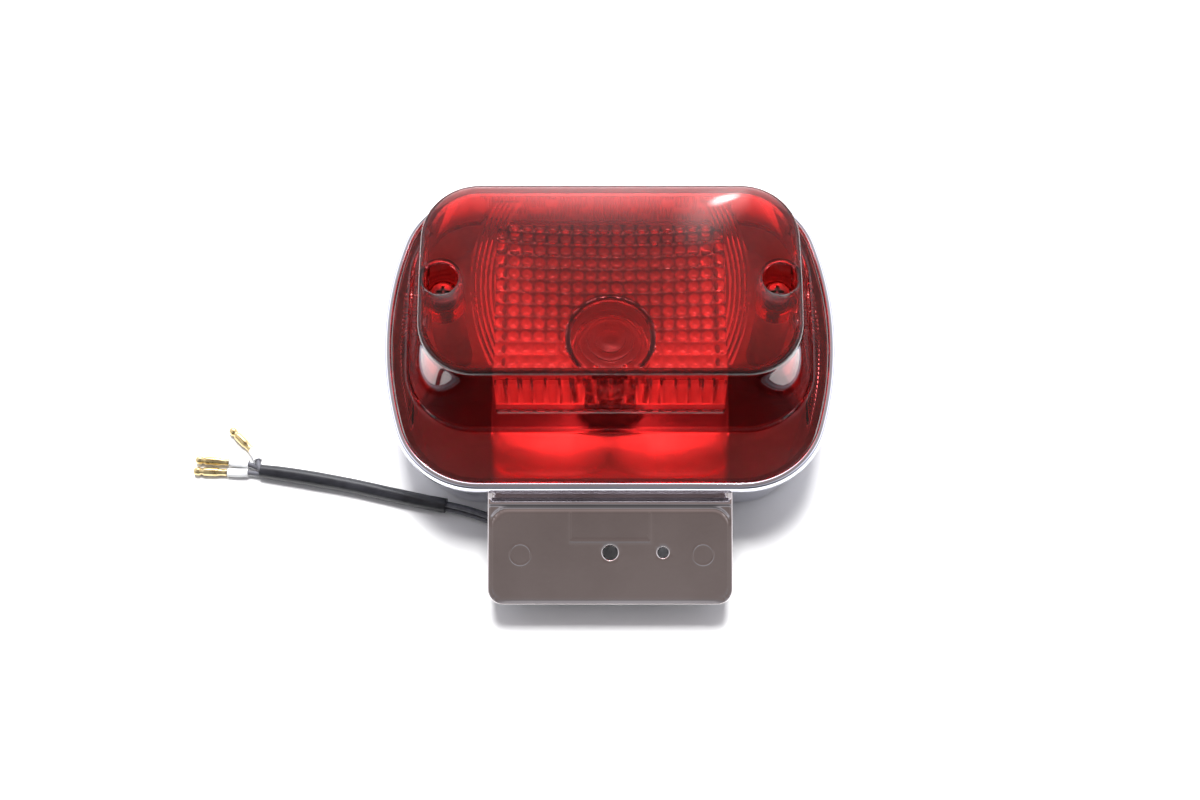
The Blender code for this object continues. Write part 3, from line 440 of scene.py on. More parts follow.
def outline(spec, inset, side, corner, flat):
    """One loop of a rounded rectangle, from the middle of its right side, anticlockwise. side, corner and
    flat say in how many steps each stretch is drawn."""
    half_w, half_h, radius, bow = spec
    half_w -= inset
    half_h -= inset
    radius = max(radius - inset, 0.3)
    mid_y = half_h - radius
    if bow is None:
        mid_x, start = half_w - radius, 0.0
        quarter = [(half_w, mid_y * k / side) for k in range(side)]
    else:
        bow -= inset
        mid_x = half_w - bow + math.sqrt((bow - radius) ** 2 - mid_y**2)
        start = math.asin(mid_y / (bow - radius))
        turns = [start * k / side for k in range(side)]
        quarter = [(half_w - bow + bow * math.cos(t), bow * math.sin(t)) for t in turns]
    for k in range(corner + 1):
        turn = start + (math.pi / 2 - start) * k / corner
        quarter.append((mid_x + radius * math.cos(turn), mid_y + radius * math.sin(turn)))
    quarter += [(mid_x * (1 - k / flat), half_h) for k in range(1, flat + 1)]
    upper = quarter + [(-x, y) for x, y in reversed(quarter[:-1])]
    return upper + [(x, -y) for x, y in reversed(upper[1:-1])]


def section(spec, inset, z, shift, steps):
    """An outline at a height, shifted along Y."""
    return [(x, y + shift, z) for x, y in outline(spec, inset, *steps)]


def corner_reach(over_x, over_y):
    """How far a point lies from the middle of a rounded corner, and 0 where it isn't past it."""
    return math.hypot(max(over_x, 0.0), max(over_y, 0.0))


def clamp(value):
    return min(max(value, 0.0), 1.0)


def circle(radius, z, steps=48, x=0.0, y=BULB_Y):
    """One loop, round the bulb's axis unless x and y say otherwise."""
    turns = [2 * math.pi * k / steps for k in range(steps)]
    return [(x + radius * math.cos(t), y + radius * math.sin(t), z) for t in turns]


def lathe(profile, steps=48, x=0.0, y=BULB_Y):
    """Loops of a turned shape, whose profile gives radius and height."""
    return [circle(r, z, steps, x, y) for r, z in profile]


class Shell:
    """Vertices and faces of one piece, gathered loop by loop."""

    def __init__(self):
        self.verts, self.faces, self.parts = [], [], []

    def loop(self, points):
        start = len(self.verts)
        self.verts += points
        return list(range(start, start + len(points)))

    def bridge(self, low, high, part=0):
        count = len(low)
        for k in range(count):
            after = (k + 1) % count
            self.cap((low[k], low[after], high[after], high[k]), part)

    def chain(self, loops, part=0):
        """Bridges loops in order, and returns the indices of the first and the last."""
        rows = [self.loop(points) for points in loops]
        for low, high in zip(rows, rows[1:]):
            self.bridge(low, high, part)
        return rows[0], rows[-1]

    def cap(self, row, part=0):
        self.faces.append(tuple(row))
        self.parts.append(part)

    def close(self, loops, part=0):
        """Bridges loops in order and caps both ends."""
        for row in self.chain(loops, part):
            self.cap(row, part)

    def fill(self, border, holes, inside, height):
        """Fills a flat region: border and hole loops that exist already, and points inside it."""
        loops = [border, *holes]
        fixed = [index for row in loops for index in row]
        edges = []
        base = 0
        for row in loops:
            edges += [(base + k, base + (k + 1) % len(row)) for k in range(len(row))]
            base += len(row)
        flat = [Vector(self.verts[i][:2]) for i in fixed] + [Vector(p) for p in inside]
        new = self.loop([(x, y, height(x, y)) for x, y in inside])
        known = fixed + new
        made = delaunay_2d_cdt(flat, edges, [], 0, WELD)
        owner = [group[0] if group else None for group in made[3]]
        rings = [[Vector(self.verts[i][:2]) for i in row] for row in holes]
        centres = [sum(ring, Vector((0.0, 0.0))) / len(ring) for ring in rings]
        reaches = [min((p - c).length for p in ring) for ring, c in zip(rings, centres)]
        for triangle in made[2]:
            if any(owner[k] is None for k in triangle):
                continue
            a, b, c = (made[0][k] for k in triangle)
            middle = (a + b + c) / 3
            in_hole = any((middle - p).length < r for p, r in zip(centres, reaches))
            if abs((b - a).cross(c - a)) >= THINNEST and not in_hole:
                self.cap(known[owner[k]] for k in triangle)


# Routes


def smooth_route(points, spacing):
    """Evenly spaced points on a smooth curve through a route."""
    knots = [Vector(p) for p in points]
    knots = [2 * knots[0] - knots[1]] + knots + [2 * knots[-1] - knots[-2]]
    fine = []
    for a, b, c, d in zip(knots, knots[1:], knots[2:], knots[3:]):
        for k in range(16):
            t = k / 16
            fine.append(0.5 * (2 * b + (c - a) * t + (2 * a - 5 * b + 4 * c - d) * t**2
                               + (3 * b - a - 3 * c + d) * t**3))
    fine.append(knots[-2])
    length = sum((q - p).length for p, q in zip(fine, fine[1:]))
    count = max(3, round(length / spacing))
    step = length / count
    even = [fine[0]]
    travelled = 0.0
    for p, q in zip(fine, fine[1:]):
        piece = (q - p).length
        while len(even) < count and travelled + piece >= step * len(even):
            even.append(p.lerp(q, (step * len(even) - travelled) / piece))
        travelled += piece
    even.append(fine[-1])
    return even


def frames(points):
    found = []
    for k in range(len(points)):
        ahead = points[min(k + 1, len(points) - 1)] - points[max(k - 1, 0)]
        sideways = ahead.cross(Vector((0.0, 0.0, 1.0))).normalized()
        found.append((sideways, sideways.cross(ahead).normalized()))
    return found


def beside(points, angle, radius):
    turn = math.radians(angle)
    across, up = math.cos(turn) * radius, math.sin(turn) * radius
    return [p + side * across + lift * up for p, (side, lift) in zip(points, frames(points))]


def tube_rows(points, radius, steps):
    """Loops round a route. radius gives their radius at a share of its length."""
    turns = [2 * math.pi * k / steps for k in range(steps)]
    rows = []
    for k, (point, (sideways, lift)) in enumerate(zip(points, frames(points))):
        r = radius(k / (len(points) - 1))
        rows.append([tuple(point + (sideways * math.cos(t) + lift * math.sin(t)) * r) for t in turns])
    return rows


def hose(points, inner, outer, steps):
    """Hollow tube along a route. inner and outer give its radius at a share of its length."""
    shell = Shell()
    first, last = shell.chain(tube_rows(points, outer, steps) + tube_rows(points, inner, steps)[::-1])
    shell.bridge(last, first)
    return shell


# Cords


def make_wire(name, points):
    curve = bpy.data.curves.new(f"wiring_{name}", "CURVE")
    curve.dimensions = "3D"
    curve.bevel_depth = WIRE_R * MM
    curve.bevel_resolution = 4
    curve.use_fill_caps = True
    spline = curve.splines.new("POLY")
    spline.points.add(len(points) - 1)
    for target, point in zip(spline.points, points):
        target.co = (*place(point), 1.0)
    curve.materials.append(FINISHES["wire"])
    return as_piece(f"wiring_{name}", curve, f"wire_{name}", LAMP)


def make_sleeve():
    """Soft sleeve: a little fuller where the wires cross inside it, and drawn in at its end."""
    def outer(share):
        bulge = 0.10 * math.exp(-((share - 0.72) / 0.10) ** 2)
        ripple = 0.05 * noise.noise(Vector((share * 14.0, 0.0, 0.0)))
        return SLEEVE_R * (0.96 - 0.10 * max(share - 0.90, 0.0) / 0.10) + bulge + ripple

    shell = hose(smooth_route(SLEEVE_ROUTE, 1.2), lambda share: outer(share) - 0.45, outer, 28)
    return mesh_piece("wiring_sleeve", shell, ["pvc_black"], "cable_sleeve", angle=50.0)


def make_terminal(name):
    """Rolled brass bullet with a snap groove and a crimp window, and the clear sleeve behind it."""
    start = Vector(TAILS[name][-1])
    along = Vector(TAIL_ENDS[name]) - start
    length = along.length
    profile = [
        (1.05, 0.3), (1.20, 0.35), (1.32, 0.9), (1.18, 1.3), (1.22, 3.0), (1.44, 3.5), (1.50, 3.9),
        (1.50, length - 3.9), (1.44, length - 3.6), (1.16, length - 3.1), (1.14, length - 2.6),
        (1.46, length - 2.1), (1.50, length - 1.8), (1.48, length - 1.1), (1.30, length - 0.5),
        (0.95, length - 0.08), (0.85, length),
    ]
    shell = Shell()
    shell.close(lathe(profile, 32, 0.0, 0.0))
    turn = along.normalized().to_track_quat("Z", "Y").to_matrix()
    shell.verts = [tuple(start + turn @ Vector(v)) for v in shell.verts]
    bullet = mesh_piece(f"bullet_{name}", shell, ["brass"], f"terminal_{name}")
    route = smooth_route(TAILS[name], 0.6)
    cover = hose(route, lambda share: 1.12, lambda share: 1.52 - 0.12 * abs(share - 0.5), 24)
    clear_sleeve = mesh_piece(f"clear_sleeve_{name}", cover, ["pvc_clear"],
                              f"terminal_sleeve_{name}", angle=50.0)
    return [bullet, clear_sleeve]


def make_wiring():
    outside = smooth_route(OUTSIDE_ROUTE, 2.0)
    sleeve = make_sleeve()
    for name, angle in WIRE_ANGLES.items():
        run = beside(outside, angle, BUNDLE_R)
        route = run[:-2] + smooth_route(run[-2:] + TAILS[name], 1.4)
        piece = make_wire(name, route)
        on_it = make_terminal(name) + ([sleeve] if name == "tail" else [])
        place(route[0])


make_wiring()


# Housing


def wall_inset(z):
    return INSET_LOW + (INSET_HIGH - INSET_LOW) * (z - WALL_LOW) / (WALL_HIGH - WALL_LOW)


def post(shell, x, y, bottom_r, top_r, top, bore_r, bore_bottom):
    """Closed pillar with a blind bore in its top, in the housing's second finish."""
    profile = ((bottom_r, POST_FOOT), (top_r, top), (bore_r, top), (bore_r, bore_bottom))
    shell.close(lathe(profile, 32, x, y), 1)


def make_housing():
    """Bowl with a rolled rim, chrome outside and bare plastic inside, with its pillars and bosses."""
    steps = (12, 20, 6)
    shell = Shell()
    chrome = [
        (7.3, 0.0), (6.6, 0.08), (6.15, 0.5), (INSET_LOW, WALL_LOW), (4.3, 14.0), (INSET_HIGH, WALL_HIGH),
        (2.4, 26.8), (1.6, 27.0), (0.7, 27.25), (0.2, 27.7), (0.0, 28.3), (0.0, 30.0), (0.05, 30.5),
        (0.18, 31.0), (0.40, 31.4), (0.70, 31.72), (1.0, 31.90), (1.35, RIM_TOP), (2.2, RIM_TOP),
        (2.42, 31.92), (2.58, 31.72), (2.68, 31.4), (2.72, 30.8), (2.72, 30.0),
    ]
    bare = [
        (2.8, 29.6), (2.8, LEDGE), (5.3, LEDGE), (wall_inset(24.0) + HOUSING_WALL, 24.0),
        (wall_inset(4.0) + HOUSING_WALL, 4.0), (wall_inset(4.0) + HOUSING_WALL + 1.2, FLOOR),
    ]
    first, edge = shell.chain([section(RIM, inset, z, RIM_Y, steps) for inset, z in chrome])
    inner, last = shell.chain([section(RIM, inset, z, RIM_Y, steps) for inset, z in bare], 1)
    shell.bridge(edge, inner, 1)
    shell.cap(first)
    shell.cap(last, 1)
    for x in (-SCREW_X, SCREW_X):
        post(shell, x, SCREW_Y, 6.4, 5.6, TUBE_BOTTOM - GAP, 2.25, 22.0)
    for x in (-INSERT_X, INSERT_X):
        post(shell, x, INSERT_Y, 7.6, 7.0, REFLECTOR_FLOOR - GAP, 4.5, 10.3)
    mesh_piece("housing_bowl", shell, ["chrome", "bare_abs"], "housing", angle=40.0)


# Lens


def dome(x, y):
    """Height of the crowned face above its edge."""
    across = x / BLOCK_FACE[0]
    up = (y - BLOCK_Y) / BLOCK_FACE[1]
    return CROWN * max(1 - across**2, 0.0) * max(1 - up**2, 0.0)


def pillow(x, y):
    """Depth of the pillow optics, whose rows sag towards the middle of the lens."""
    sag = PILLOW_SAG * (1 - (x / OPTIC_HALF_W) ** 2) * (y - OPTIC_LOW) / (OPTIC_HIGH - OPTIC_LOW)
    u = (x / PILLOW_W) % 1.0 * 2 - 1
    v = ((y + sag - OPTIC_LOW) / PILLOW_H) % 1.0 * 2 - 1
    share = (y - OPTIC_LOW) / (OPTIC_HIGH - OPTIC_LOW)
    depth = PILLOW_DEPTH_LOW + (PILLOW_DEPTH_HIGH - PILLOW_DEPTH_LOW) * min(1.6 * share, 1.0)
    return depth * (1 - u * u) * (1 - v * v)


def flutes(x, y):
    """Depth of the arc-shaped flutes beside the pillows, which are mirrored left to right."""
    reach = math.hypot(abs(x) + FLUTE_X, y - FLUTE_Y)
    if not FLUTE_R_IN < reach < FLUTE_R_OUT or not OPTIC_LOW + 1 < y < 31.0:
        return 0.0
    share = ((reach - FLUTE_R_IN) / FLUTE_PITCH) % 1.0
    return FLUTE_DEPTH * (1 - (2 * share - 1) ** 2)


def optics(x, y):
    """How far the lens's inner face stands below its plain surface."""
    if math.hypot(x, y - EYE_Y) < EYE_R:
        return 0.0
    corner = abs(x) - (OPTIC_HALF_W - 5.0) + (y - (OPTIC_HIGH - 5.0))
    if abs(x) < OPTIC_HALF_W and OPTIC_LOW < y < OPTIC_HIGH and corner < 5.0:
        return pillow(x, y)
    return flutes(x, y)


def eye_profile():
    """(radius, depth) of the bullseye: a sharp ridge, then stepped rings round a plain convex middle."""
    rings = [(EYE_R + 0.35, 0.0), (EYE_R - 0.05, 0.40), (EYE_R - 0.45, 0.80), (EYE_R - 0.85, 0.40),
             (EYE_R - 1.25, 0.0)]
    for outer, inner in ((12.9, 10.3), (10.2, 7.6), (7.5, 4.9)):
        rings += [(outer, 0.15), (inner + 0.8, 0.45), (inner, 0.75)]
    return rings + [(4.8, 0.15), (3.4, 0.45), (1.8, 0.62), (0.6, 0.66)]


def face_points(limit, x_step, y_step):
    """Grid points well inside an outline, finer where the flutes are, and clear of posts and bullseye."""
    points = []
    half_w, half_h, radius = limit
    columns, x = [], 0.25 * x_step
    while x < half_w:
        columns.append(x)
        x += 0.55 * x_step if FLUTE_NEAR < x < FLUTE_FAR else (x_step if x < FLUTE_NEAR else 3 * x_step)
    rows = int(2 * half_h / y_step)
    for x in columns:
        for k in range(rows):
            y = BLOCK_Y - half_h + (k + 0.5) * y_step
            outside = corner_reach(x - (half_w - radius), abs(y - BLOCK_Y) - (half_h - radius)) > radius
            if outside or (x > FLUTE_FAR and k % 3) or math.hypot(x, y - EYE_Y) < EYE_R + 0.6:
                continue
            for side in (-1.0, 1.0):
                if math.hypot(side * x - math.copysign(SCREW_X, side), y - SCREW_Y) >= POST_R + 0.7:
                    points.append((side * x, y))
    return points


def inner_wall(spec, inset, z, steps, pattern):
    """A loop of the lens's inner wall, moved outward or inward by a pattern along its flat stretches."""
    points = []
    for x, y in outline(spec, inset, *steps):
        shift = pattern(x, y)
        points.append((x, y + BLOCK_Y - math.copysign(shift, y), z))
    return points


def plain(x, y):
    return 0.0


def wall_relief(rib_w, in_window):
    """Shift of one loop of the inner wall: fine ribs on the upper wall, round flutes in the window of the
    lower wall."""
    def shift(x, y):
        if y > 0:
            return RIB_DEPTH if abs(x) < 44.0 and round(x / rib_w) % 2 else 0.0
        if in_window and abs(x) < OPTIC_HALF_W:
            share = (x / PILLOW_W) % 1.0
            return WINDOW_FLUTE_DEPTH * (1 - (2 * share - 1) ** 2)
        return 0.0
    return shift


def make_lens():
    """One clear moulding: flange, block, crowned face, screw tubes, and the optics inside."""
    steps = (40, 20, 80)
    shell = Shell()
    rib_w = (BLOCK_BASE[0] - BLOCK_BASE[2]) / steps[2]

    def block(share):
        """Outline between the block's base and its face. The wall stands up straighter near the face."""
        lean = 1 - (1 - share) ** 1.35
        return tuple(a + (b - a) * lean for a, b in zip(BLOCK_BASE, BLOCK_FACE))

    ribs, fluted = wall_relief(rib_w, False), wall_relief(rib_w, True)
    levels = [(0.985, plain), (0.97, ribs)]
    levels += [((z - WALL_FOOT) / (WALL_HEAD - WALL_FOOT), relief) for z, relief in (
        (WINDOW_HIGH + 0.5, ribs), (WINDOW_HIGH, fluted), (52.0, fluted), (WINDOW_LOW, fluted),
        (WINDOW_LOW - 0.5, ribs), (38.0, ribs), (34.0, ribs))]
    levels += [(0.06, ribs), (0.05, plain)]
    inside = [inner_wall(BLOCK_FACE, LENS_WALL, FACE_INSIDE, steps, plain)]
    inside += [inner_wall(block(share), LENS_WALL, WALL_FOOT + (WALL_HEAD - WALL_FOOT) * share, steps, relief)
               for share, relief in levels]
    inside.append(inner_wall(BLOCK_BASE, 1.8, FLANGE_BOTTOM, steps, plain))
    first, wall_end = shell.chain(inside)

    # Underside of the flange, with fine ribs across its two sides
    flange_edge = section(RIM, 5.3, 0.0, RIM_Y, steps)
    outer = [
        [(a + (c - a) * t, b + (d - b) * t,
          FLANGE_BOTTOM + (0.7 if abs(b) < 18.0 and abs(a) > 60.0 and k % 2 and 0.1 < t < 0.9 else 0.0))
         for k, ((a, b, _), (c, d, _)) in enumerate(zip(inside[-1], flange_edge))]
        for t in (0.05, 0.15, 0.85, 0.95)
    ]
    outer += [section(RIM, inset, z, RIM_Y, steps) for inset, z in (
        (5.2, FLANGE_BOTTOM), (3.1, FLANGE_BOTTOM), (3.1, 30.5), (3.16, 30.7), (3.35, FLANGE_TOP))]
    outer += [section(BLOCK_BASE, inset, z, BLOCK_Y, steps) for inset, z in (
        (-1.6, FLANGE_TOP), (-1.1, 30.86), (-0.65, 31.05), (-0.3, 31.45), (-0.1, 32.1))]
    for z in (33.0, 36.0, 39.5, *BEAD_HEIGHTS, 48.0, 52.0, 56.0, 60.0, 62.5, 64.5):
        share = (z - FLANGE_TOP) / (FACE_EDGE - FLANGE_TOP)
        swell = BEAD_SWELL * max(1 - ((z - BEAD_Z) / BEAD_HALF_H) ** 2, 0.0)
        outer.append([(x, y - (swell if y < 0 and abs(x) < OPTIC_HALF_W else 0.0), z)
                      for x, y, _ in section(block(share), 0.0, z, BLOCK_Y, steps)])
    for turn in (0, 18, 36, 54, 72, 90):
        t = math.radians(turn)
        inset = FACE_ROUNDING * (1 - math.cos(t)) - 0.12 * (1 - turn / 90)
        z = FACE_EDGE - FACE_ROUNDING + 1.25 * math.sin(t)
        outer.append(section(BLOCK_FACE, inset, z, BLOCK_Y, steps))
    outer.append(section(BLOCK_FACE, 1.8, FACE_EDGE - 0.01, BLOCK_Y, steps))
    start, edge = shell.chain(outer)
    shell.bridge(wall_end, start)
    tubes_top, tubes_low = [], []
    for x in (-SCREW_X, SCREW_X):
        rim_z = FACE_EDGE + dome(x, SCREW_Y)
        profile = [
            (RECESS_R + 0.8, rim_z), (RECESS_R + 0.5, rim_z - 0.05), (RECESS_R + 0.25, rim_z - 0.22),
            (RECESS_R + 0.08, rim_z - 0.6), (RECESS_R - 0.15, RECESS_FLOOR + 0.5),
            (RECESS_R - 0.5, RECESS_FLOOR), (2.4, RECESS_FLOOR), (2.4, TUBE_BOTTOM),
            (POST_R - 0.4, TUBE_BOTTOM), (POST_R, TUBE_BOTTOM + 0.4), (POST_R, FACE_INSIDE),
        ]
        high, low = shell.chain(lathe(profile, 48, x, SCREW_Y))
        tubes_top.append(high)
        tubes_low.append(low)
    limit = (BLOCK_FACE[0] - 3.0, BLOCK_FACE[1] - 3.0, BLOCK_FACE[2] - 3.0)
    shell.fill(edge, tubes_top, face_points(limit, 3.0, 3.0), lambda x, y: FACE_EDGE + dome(x, y))
    make_inner_face(shell, first, tubes_low)
    mesh_piece("lens_cover", shell, ["red"], "lens", angle=20.0)


def make_inner_face(shell, border, tubes):
    limit = (BLOCK_FACE[0] - LENS_WALL - 0.5, BLOCK_FACE[1] - LENS_WALL - 0.5, 16.0)
    points = face_points(limit, 0.52, 0.5)
    heights = {(x, y): FACE_INSIDE + dome(x, y) - optics(x, y) for x, y in points}
    for radius, depth in eye_profile():
        for k in range(120):
            turn = 2 * math.pi * (k + 0.5) / 120
            x, y = radius * math.cos(turn), EYE_Y + radius * math.sin(turn)
            if y > BLOCK_Y - limit[1]:
                points.append((x, y))
                heights[(x, y)] = FACE_INSIDE + dome(x, y) - depth
    shell.fill(border, tubes, points, lambda x, y: heights[(x, y)])


# Reflector and bulb


def tray_floor(x, y):
    """Height of the tray's silvered bowl, with a low ridge that throws light past the socket."""
    share = ((x / REFLECTOR[0]) ** 4 + ((y - REFLECTOR_Y) / REFLECTOR[1]) ** 4) ** 0.25
    bowl = REFLECTOR_FLOOR + 1.5 + (REFLECTOR_TOP - 1.2 - REFLECTOR_FLOOR - 1.5) * share**1.4
    start = clamp((RIDGE_START - y) / 3.0)
    return bowl + RIDGE_SLOPE * max(RIDGE_HALF_W - math.hypot(x, 0.8), 0.0) * start


def tray_ring(radius, drop=0.0):
    """Loop on the tray's floor round the bulb's axis."""
    return [(x, y, tray_floor(x, y) - drop) for x, y, _ in circle(radius, 0.0)]


def make_reflector():
    """Tray with a turned-over edge, and the collar that stands round the socket."""
    steps = (16, 12, 16)
    shell = Shell()
    rows = []
    for inset, lift in ((3.2, 0.0), (2.2, 0.25), (1.2, 0.8), (0.6, 1.0), (0.0, 0.9), (0.0, -0.2),
                        (2.0, -1.4)):
        rows.append([(x, y, min(tray_floor(x, y) + lift, REFLECTOR_TOP))
                     for x, y, _ in section(REFLECTOR, inset, 0.0, REFLECTOR_Y, steps)])
    first, last = shell.chain(rows)
    collar = lathe((
        (11.6, 17.4), (10.8, 21.0), (10.1, 25.0), (9.7, 26.9), (9.5, 27.1), (9.2, 26.9), (9.2, 20.0)))
    collar = [tray_ring(TRAY_HOLE_R), *collar, tray_ring(TRAY_HOLE_R - 1.0, TRAY_SHEET)]
    top_hole, low_hole = shell.chain(collar)
    half_w, half_h, corner = REFLECTOR[0] - 5.0, REFLECTOR[1] - 5.0, 6.0
    grid = []
    for j in range(-18, 19):
        for k in range(-18, 19):
            x, y = half_w * j / 18, REFLECTOR_Y + half_h * k / 18
            past = corner_reach(abs(x) - half_w + corner, abs(y - REFLECTOR_Y) - half_h + corner)
            if math.hypot(x, y - BULB_Y) > TRAY_HOLE_R + 1.2 and past <= corner:
                grid.append((x, y))
    shell.fill(first, [top_hole], grid, tray_floor)
    shell.fill(last, [low_hole], grid, lambda x, y: tray_floor(x, y) - TRAY_SHEET)
    mesh_piece("reflector_tray", shell, ["silvered"], "reflector", angle=50.0)


def make_bulb():
    """Hollow glass envelope: a neck and a ball."""
    base, length, ball_r, neck_r, wall = 14.0, 47.6, 12.5, 6.6, 0.7
    top = base + length
    ball = top - ball_r
    reach = math.acos(neck_r / ball_r)
    turns = [-reach + (math.pi / 2 - 0.02 + reach) * k / 28 for k in range(29)]
    neck_top = ball - ball_r * math.sin(reach) - 5.0

    def layer(inset):
        r = ball_r - inset
        neck = [(neck_r - inset, base + 5.2), (neck_r - inset, neck_top)]
        return lathe(neck + [(r * math.cos(t), ball + r * math.sin(t)) for t in turns], 64)

    shell = Shell()
    first, crown = shell.chain(layer(0.0))
    low, inner_crown = shell.chain(layer(wall))
    shell.cap(crown)
    shell.cap(inner_crown)
    shell.bridge(first, low)
    mesh_piece("bulb_envelope", shell, ["glass"], "bulb_glass", body="bulb")


def make_spring():
    """Open coil under the plunger, which flattens as the bulb is pushed in."""
    steps, flat_share = 72, 0.08
    points = []
    for k in range(steps + 1):
        turn = 2 * math.pi * SPRING_TURNS * k / steps
        climb = clamp((k / steps - flat_share) / 0.84)
        height = SPRING_LOW + SPRING_WIRE_R + (SPRING_HIGH - SPRING_LOW - 2 * SPRING_WIRE_R) * climb
        points.append(Vector((SPRING_R * math.cos(turn), BULB_Y + SPRING_R * math.sin(turn), height)))
    shell = Shell()
    shell.close(tube_rows(points, lambda share: SPRING_WIRE_R, 12))
    coil = mesh_piece("contact_coil", shell, ["steel"], "contact_spring", angle=50.0)
    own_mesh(coil)


# Bracket


def on_plate(x, y, out):
    """Plate coordinates (across, up the plate, out of its face) in lamp coordinates."""
    c, s = math.cos(PLATE_TILT), math.sin(PLATE_TILT)
    return (x, PLATE_ORIGIN.y + y * c - out * s, PLATE_ORIGIN.z + y * s + out * c)


def bell(distance, width):
    return math.exp(-((distance / width) ** 2))


def panel_distance(x, y):
    """How far a point of the plate lies outside its inner panel, a rounded rectangle."""
    middle = 0.5 * (PANEL_TOP + PANEL_BOTTOM)
    over_x = abs(x) - (PANEL_HALF_W - PANEL_CORNER)
    over_y = abs(y - middle) - (0.5 * (PANEL_TOP - PANEL_BOTTOM) - PANEL_CORNER)
    return corner_reach(over_x, over_y) + min(max(over_x, over_y), 0.0) - PANEL_CORNER


def plate_face(x, y):
    """Height of the pressed plate: channel under the rim, crest, groove round the panel, fine beads."""
    channel = -(LEDGE_DROP + y * math.sin(PLATE_TILT)) / math.cos(PLATE_TILT)
    rise = clamp((y + 0.4) / 1.5)
    side_wall = -1.1 * max(PLATE_HALF_W - 0.7 - abs(x), 0.0)
    height = max(channel, side_wall) * rise * rise * (3 - 2 * rise)
    outside = panel_distance(x, y)
    top = clamp((y - PANEL_TOP + PANEL_CORNER) / 3.0)
    height -= (0.06 + 0.20 * top) * bell(outside - 0.8, 0.45 + 0.15 * top) * (1 - rise)
    height += 0.30 * bell(y + 0.9, 0.5)
    for ring_x, ring_y, radius in PLATE_RINGS:
        height += 0.045 * bell(math.hypot(x - ring_x, y - ring_y) - radius, 0.20)
    if y > PAD_BOTTOM - 2:
        pad = max(abs(x) - PAD_HALF_W, PAD_BOTTOM - y)
        height += 0.045 * bell(pad, 0.35) * (1 - rise)
    return height


def plate_border(inset, lift, foot=None):
    """Loop round the plate, square at the wall and rounded below. foot hangs it under the face."""
    half_w, corner = PLATE_HALF_W - inset, PLATE_CORNER - min(inset, PLATE_CORNER - 0.5)
    top, bottom = PLATE_TOP - inset, -(PLATE_LENGTH - inset)
    right = [(half_w, top + (bottom + corner - top) * k / 44) for k in range(44)]
    for k in range(13):
        turn = 0.5 * math.pi * k / 12
        right.append((half_w - corner + corner * math.cos(turn), bottom + corner - corner * math.sin(turn)))
    low = [((half_w - corner) * (1 - k / 20), bottom) for k in range(1, 20)]
    half = right + low
    points = half + [(0.0, bottom)] + [(-x, y) for x, y in reversed(half)]
    points += [(-half_w + 2 * half_w * k / 40, top) for k in range(1, 40)]
    loop = []
    for x, y in points:
        height = plate_face(x, y) + lift
        if foot is not None:
            blend = clamp(y + 0.6)
            height = foot * (1 - blend) + (plate_face(x, y) - SHEET + lift) * blend
        loop.append(on_plate(x, y, height))
    return loop


def plate_points():
    """Points inside the plate: a grid, closer at the folds, and rows along each bead."""
    ups = [0.5 - 0.3 * k for k in range(-9, 18)] + [-4.9 - 1.0 * k for k in range(29)]
    acrosses = [1.2 * k + 0.6 for k in range(31)] + [37.6 + 0.3 * k for k in range(9)]
    points = [(side * x, y) for y in ups for x in acrosses for side in (-1, 1)]
    for ring_x, ring_y, radius in PLATE_RINGS:
        for reach in (-0.6, -0.36, -0.18, 0.0, 0.18, 0.36, 0.6):
            points += [(x, y) for x, y, _ in circle(radius + reach, 0.0, 60, ring_x, ring_y)]
    for reach in (-0.5, -0.25, 0.0, 0.25, 0.5):
        points += [(side * (PAD_HALF_W + reach), -4.0 - 0.5 * k) for k in range(20) for side in (-1, 1)]
        points += [(-PAD_HALF_W + 0.5 * k, PAD_BOTTOM - reach) for k in range(54)]
    kept = []
    for x, y in points:
        near_hole = any(math.hypot(x - hx, y - hy) < r + 0.8 for hx, hy, r in PLATE_HOLES)
        near_edge = abs(x) > PLATE_HALF_W - 0.9 or not -(PLATE_LENGTH - 1.0) < y < PLATE_TOP - 0.9
        past = corner_reach(abs(x) - (PLATE_HALF_W - PLATE_CORNER), -y - (PLATE_LENGTH - PLATE_CORNER))
        if not (near_hole or near_edge or past > PLATE_CORNER - 1.0):
            kept.append((round(x, 4), round(y, 4)))
    return list(dict.fromkeys(kept))


def make_bracket():
    """Pressed and plated tray, open below, with two holes and a tab that lies on the housing's wall."""
    shell = Shell()
    loops = [
        plate_border(2.3, -SHEET), plate_border(2.3, 0.0, -PLATE_DEPTH), plate_border(0.3, 0.0, -PLATE_DEPTH),
        plate_border(0.0, 0.3, 0.3 - PLATE_DEPTH), plate_border(0.0, -0.5), plate_border(0.03, -0.3),
        plate_border(0.10, -0.14), plate_border(0.22, -0.04), plate_border(0.40, 0.0),
    ]
    under = shell.loop(loops[0])
    low, edge = shell.chain(loops[1:])
    shell.bridge(under, low, 1)
    tops, bottoms = [], []
    for x, y, radius in PLATE_HOLES:
        rows = [
            [on_plate(px, py, plate_face(px, py) + lift)
             for px, py, _ in circle(radius + reach, 0.0, 40, x, y)]
            for reach, lift in ((0.55, 0.0), (0.35, -0.03), (0.16, -0.14), (0.04, -0.32), (0.0, -0.6),
                                (0.0, -SHEET))
        ]
        top, mouth = shell.chain(rows[:-1])
        bottom = shell.loop(rows[-1])
        shell.bridge(mouth, bottom, 1)
        tops.append(top)
        bottoms.append(bottom)
    fill_plate(shell, edge, tops, plate_points(), 0.0)
    fill_plate(shell, under, bottoms, [], -SHEET, 1)
    shell.close(tab_loops())
    # The underside's near black finish is partly painted shade
    mesh_piece("bracket_tray", shell, ["plated_sheet", "dull_back"], "reflector_bracket",
               angle=38.0)


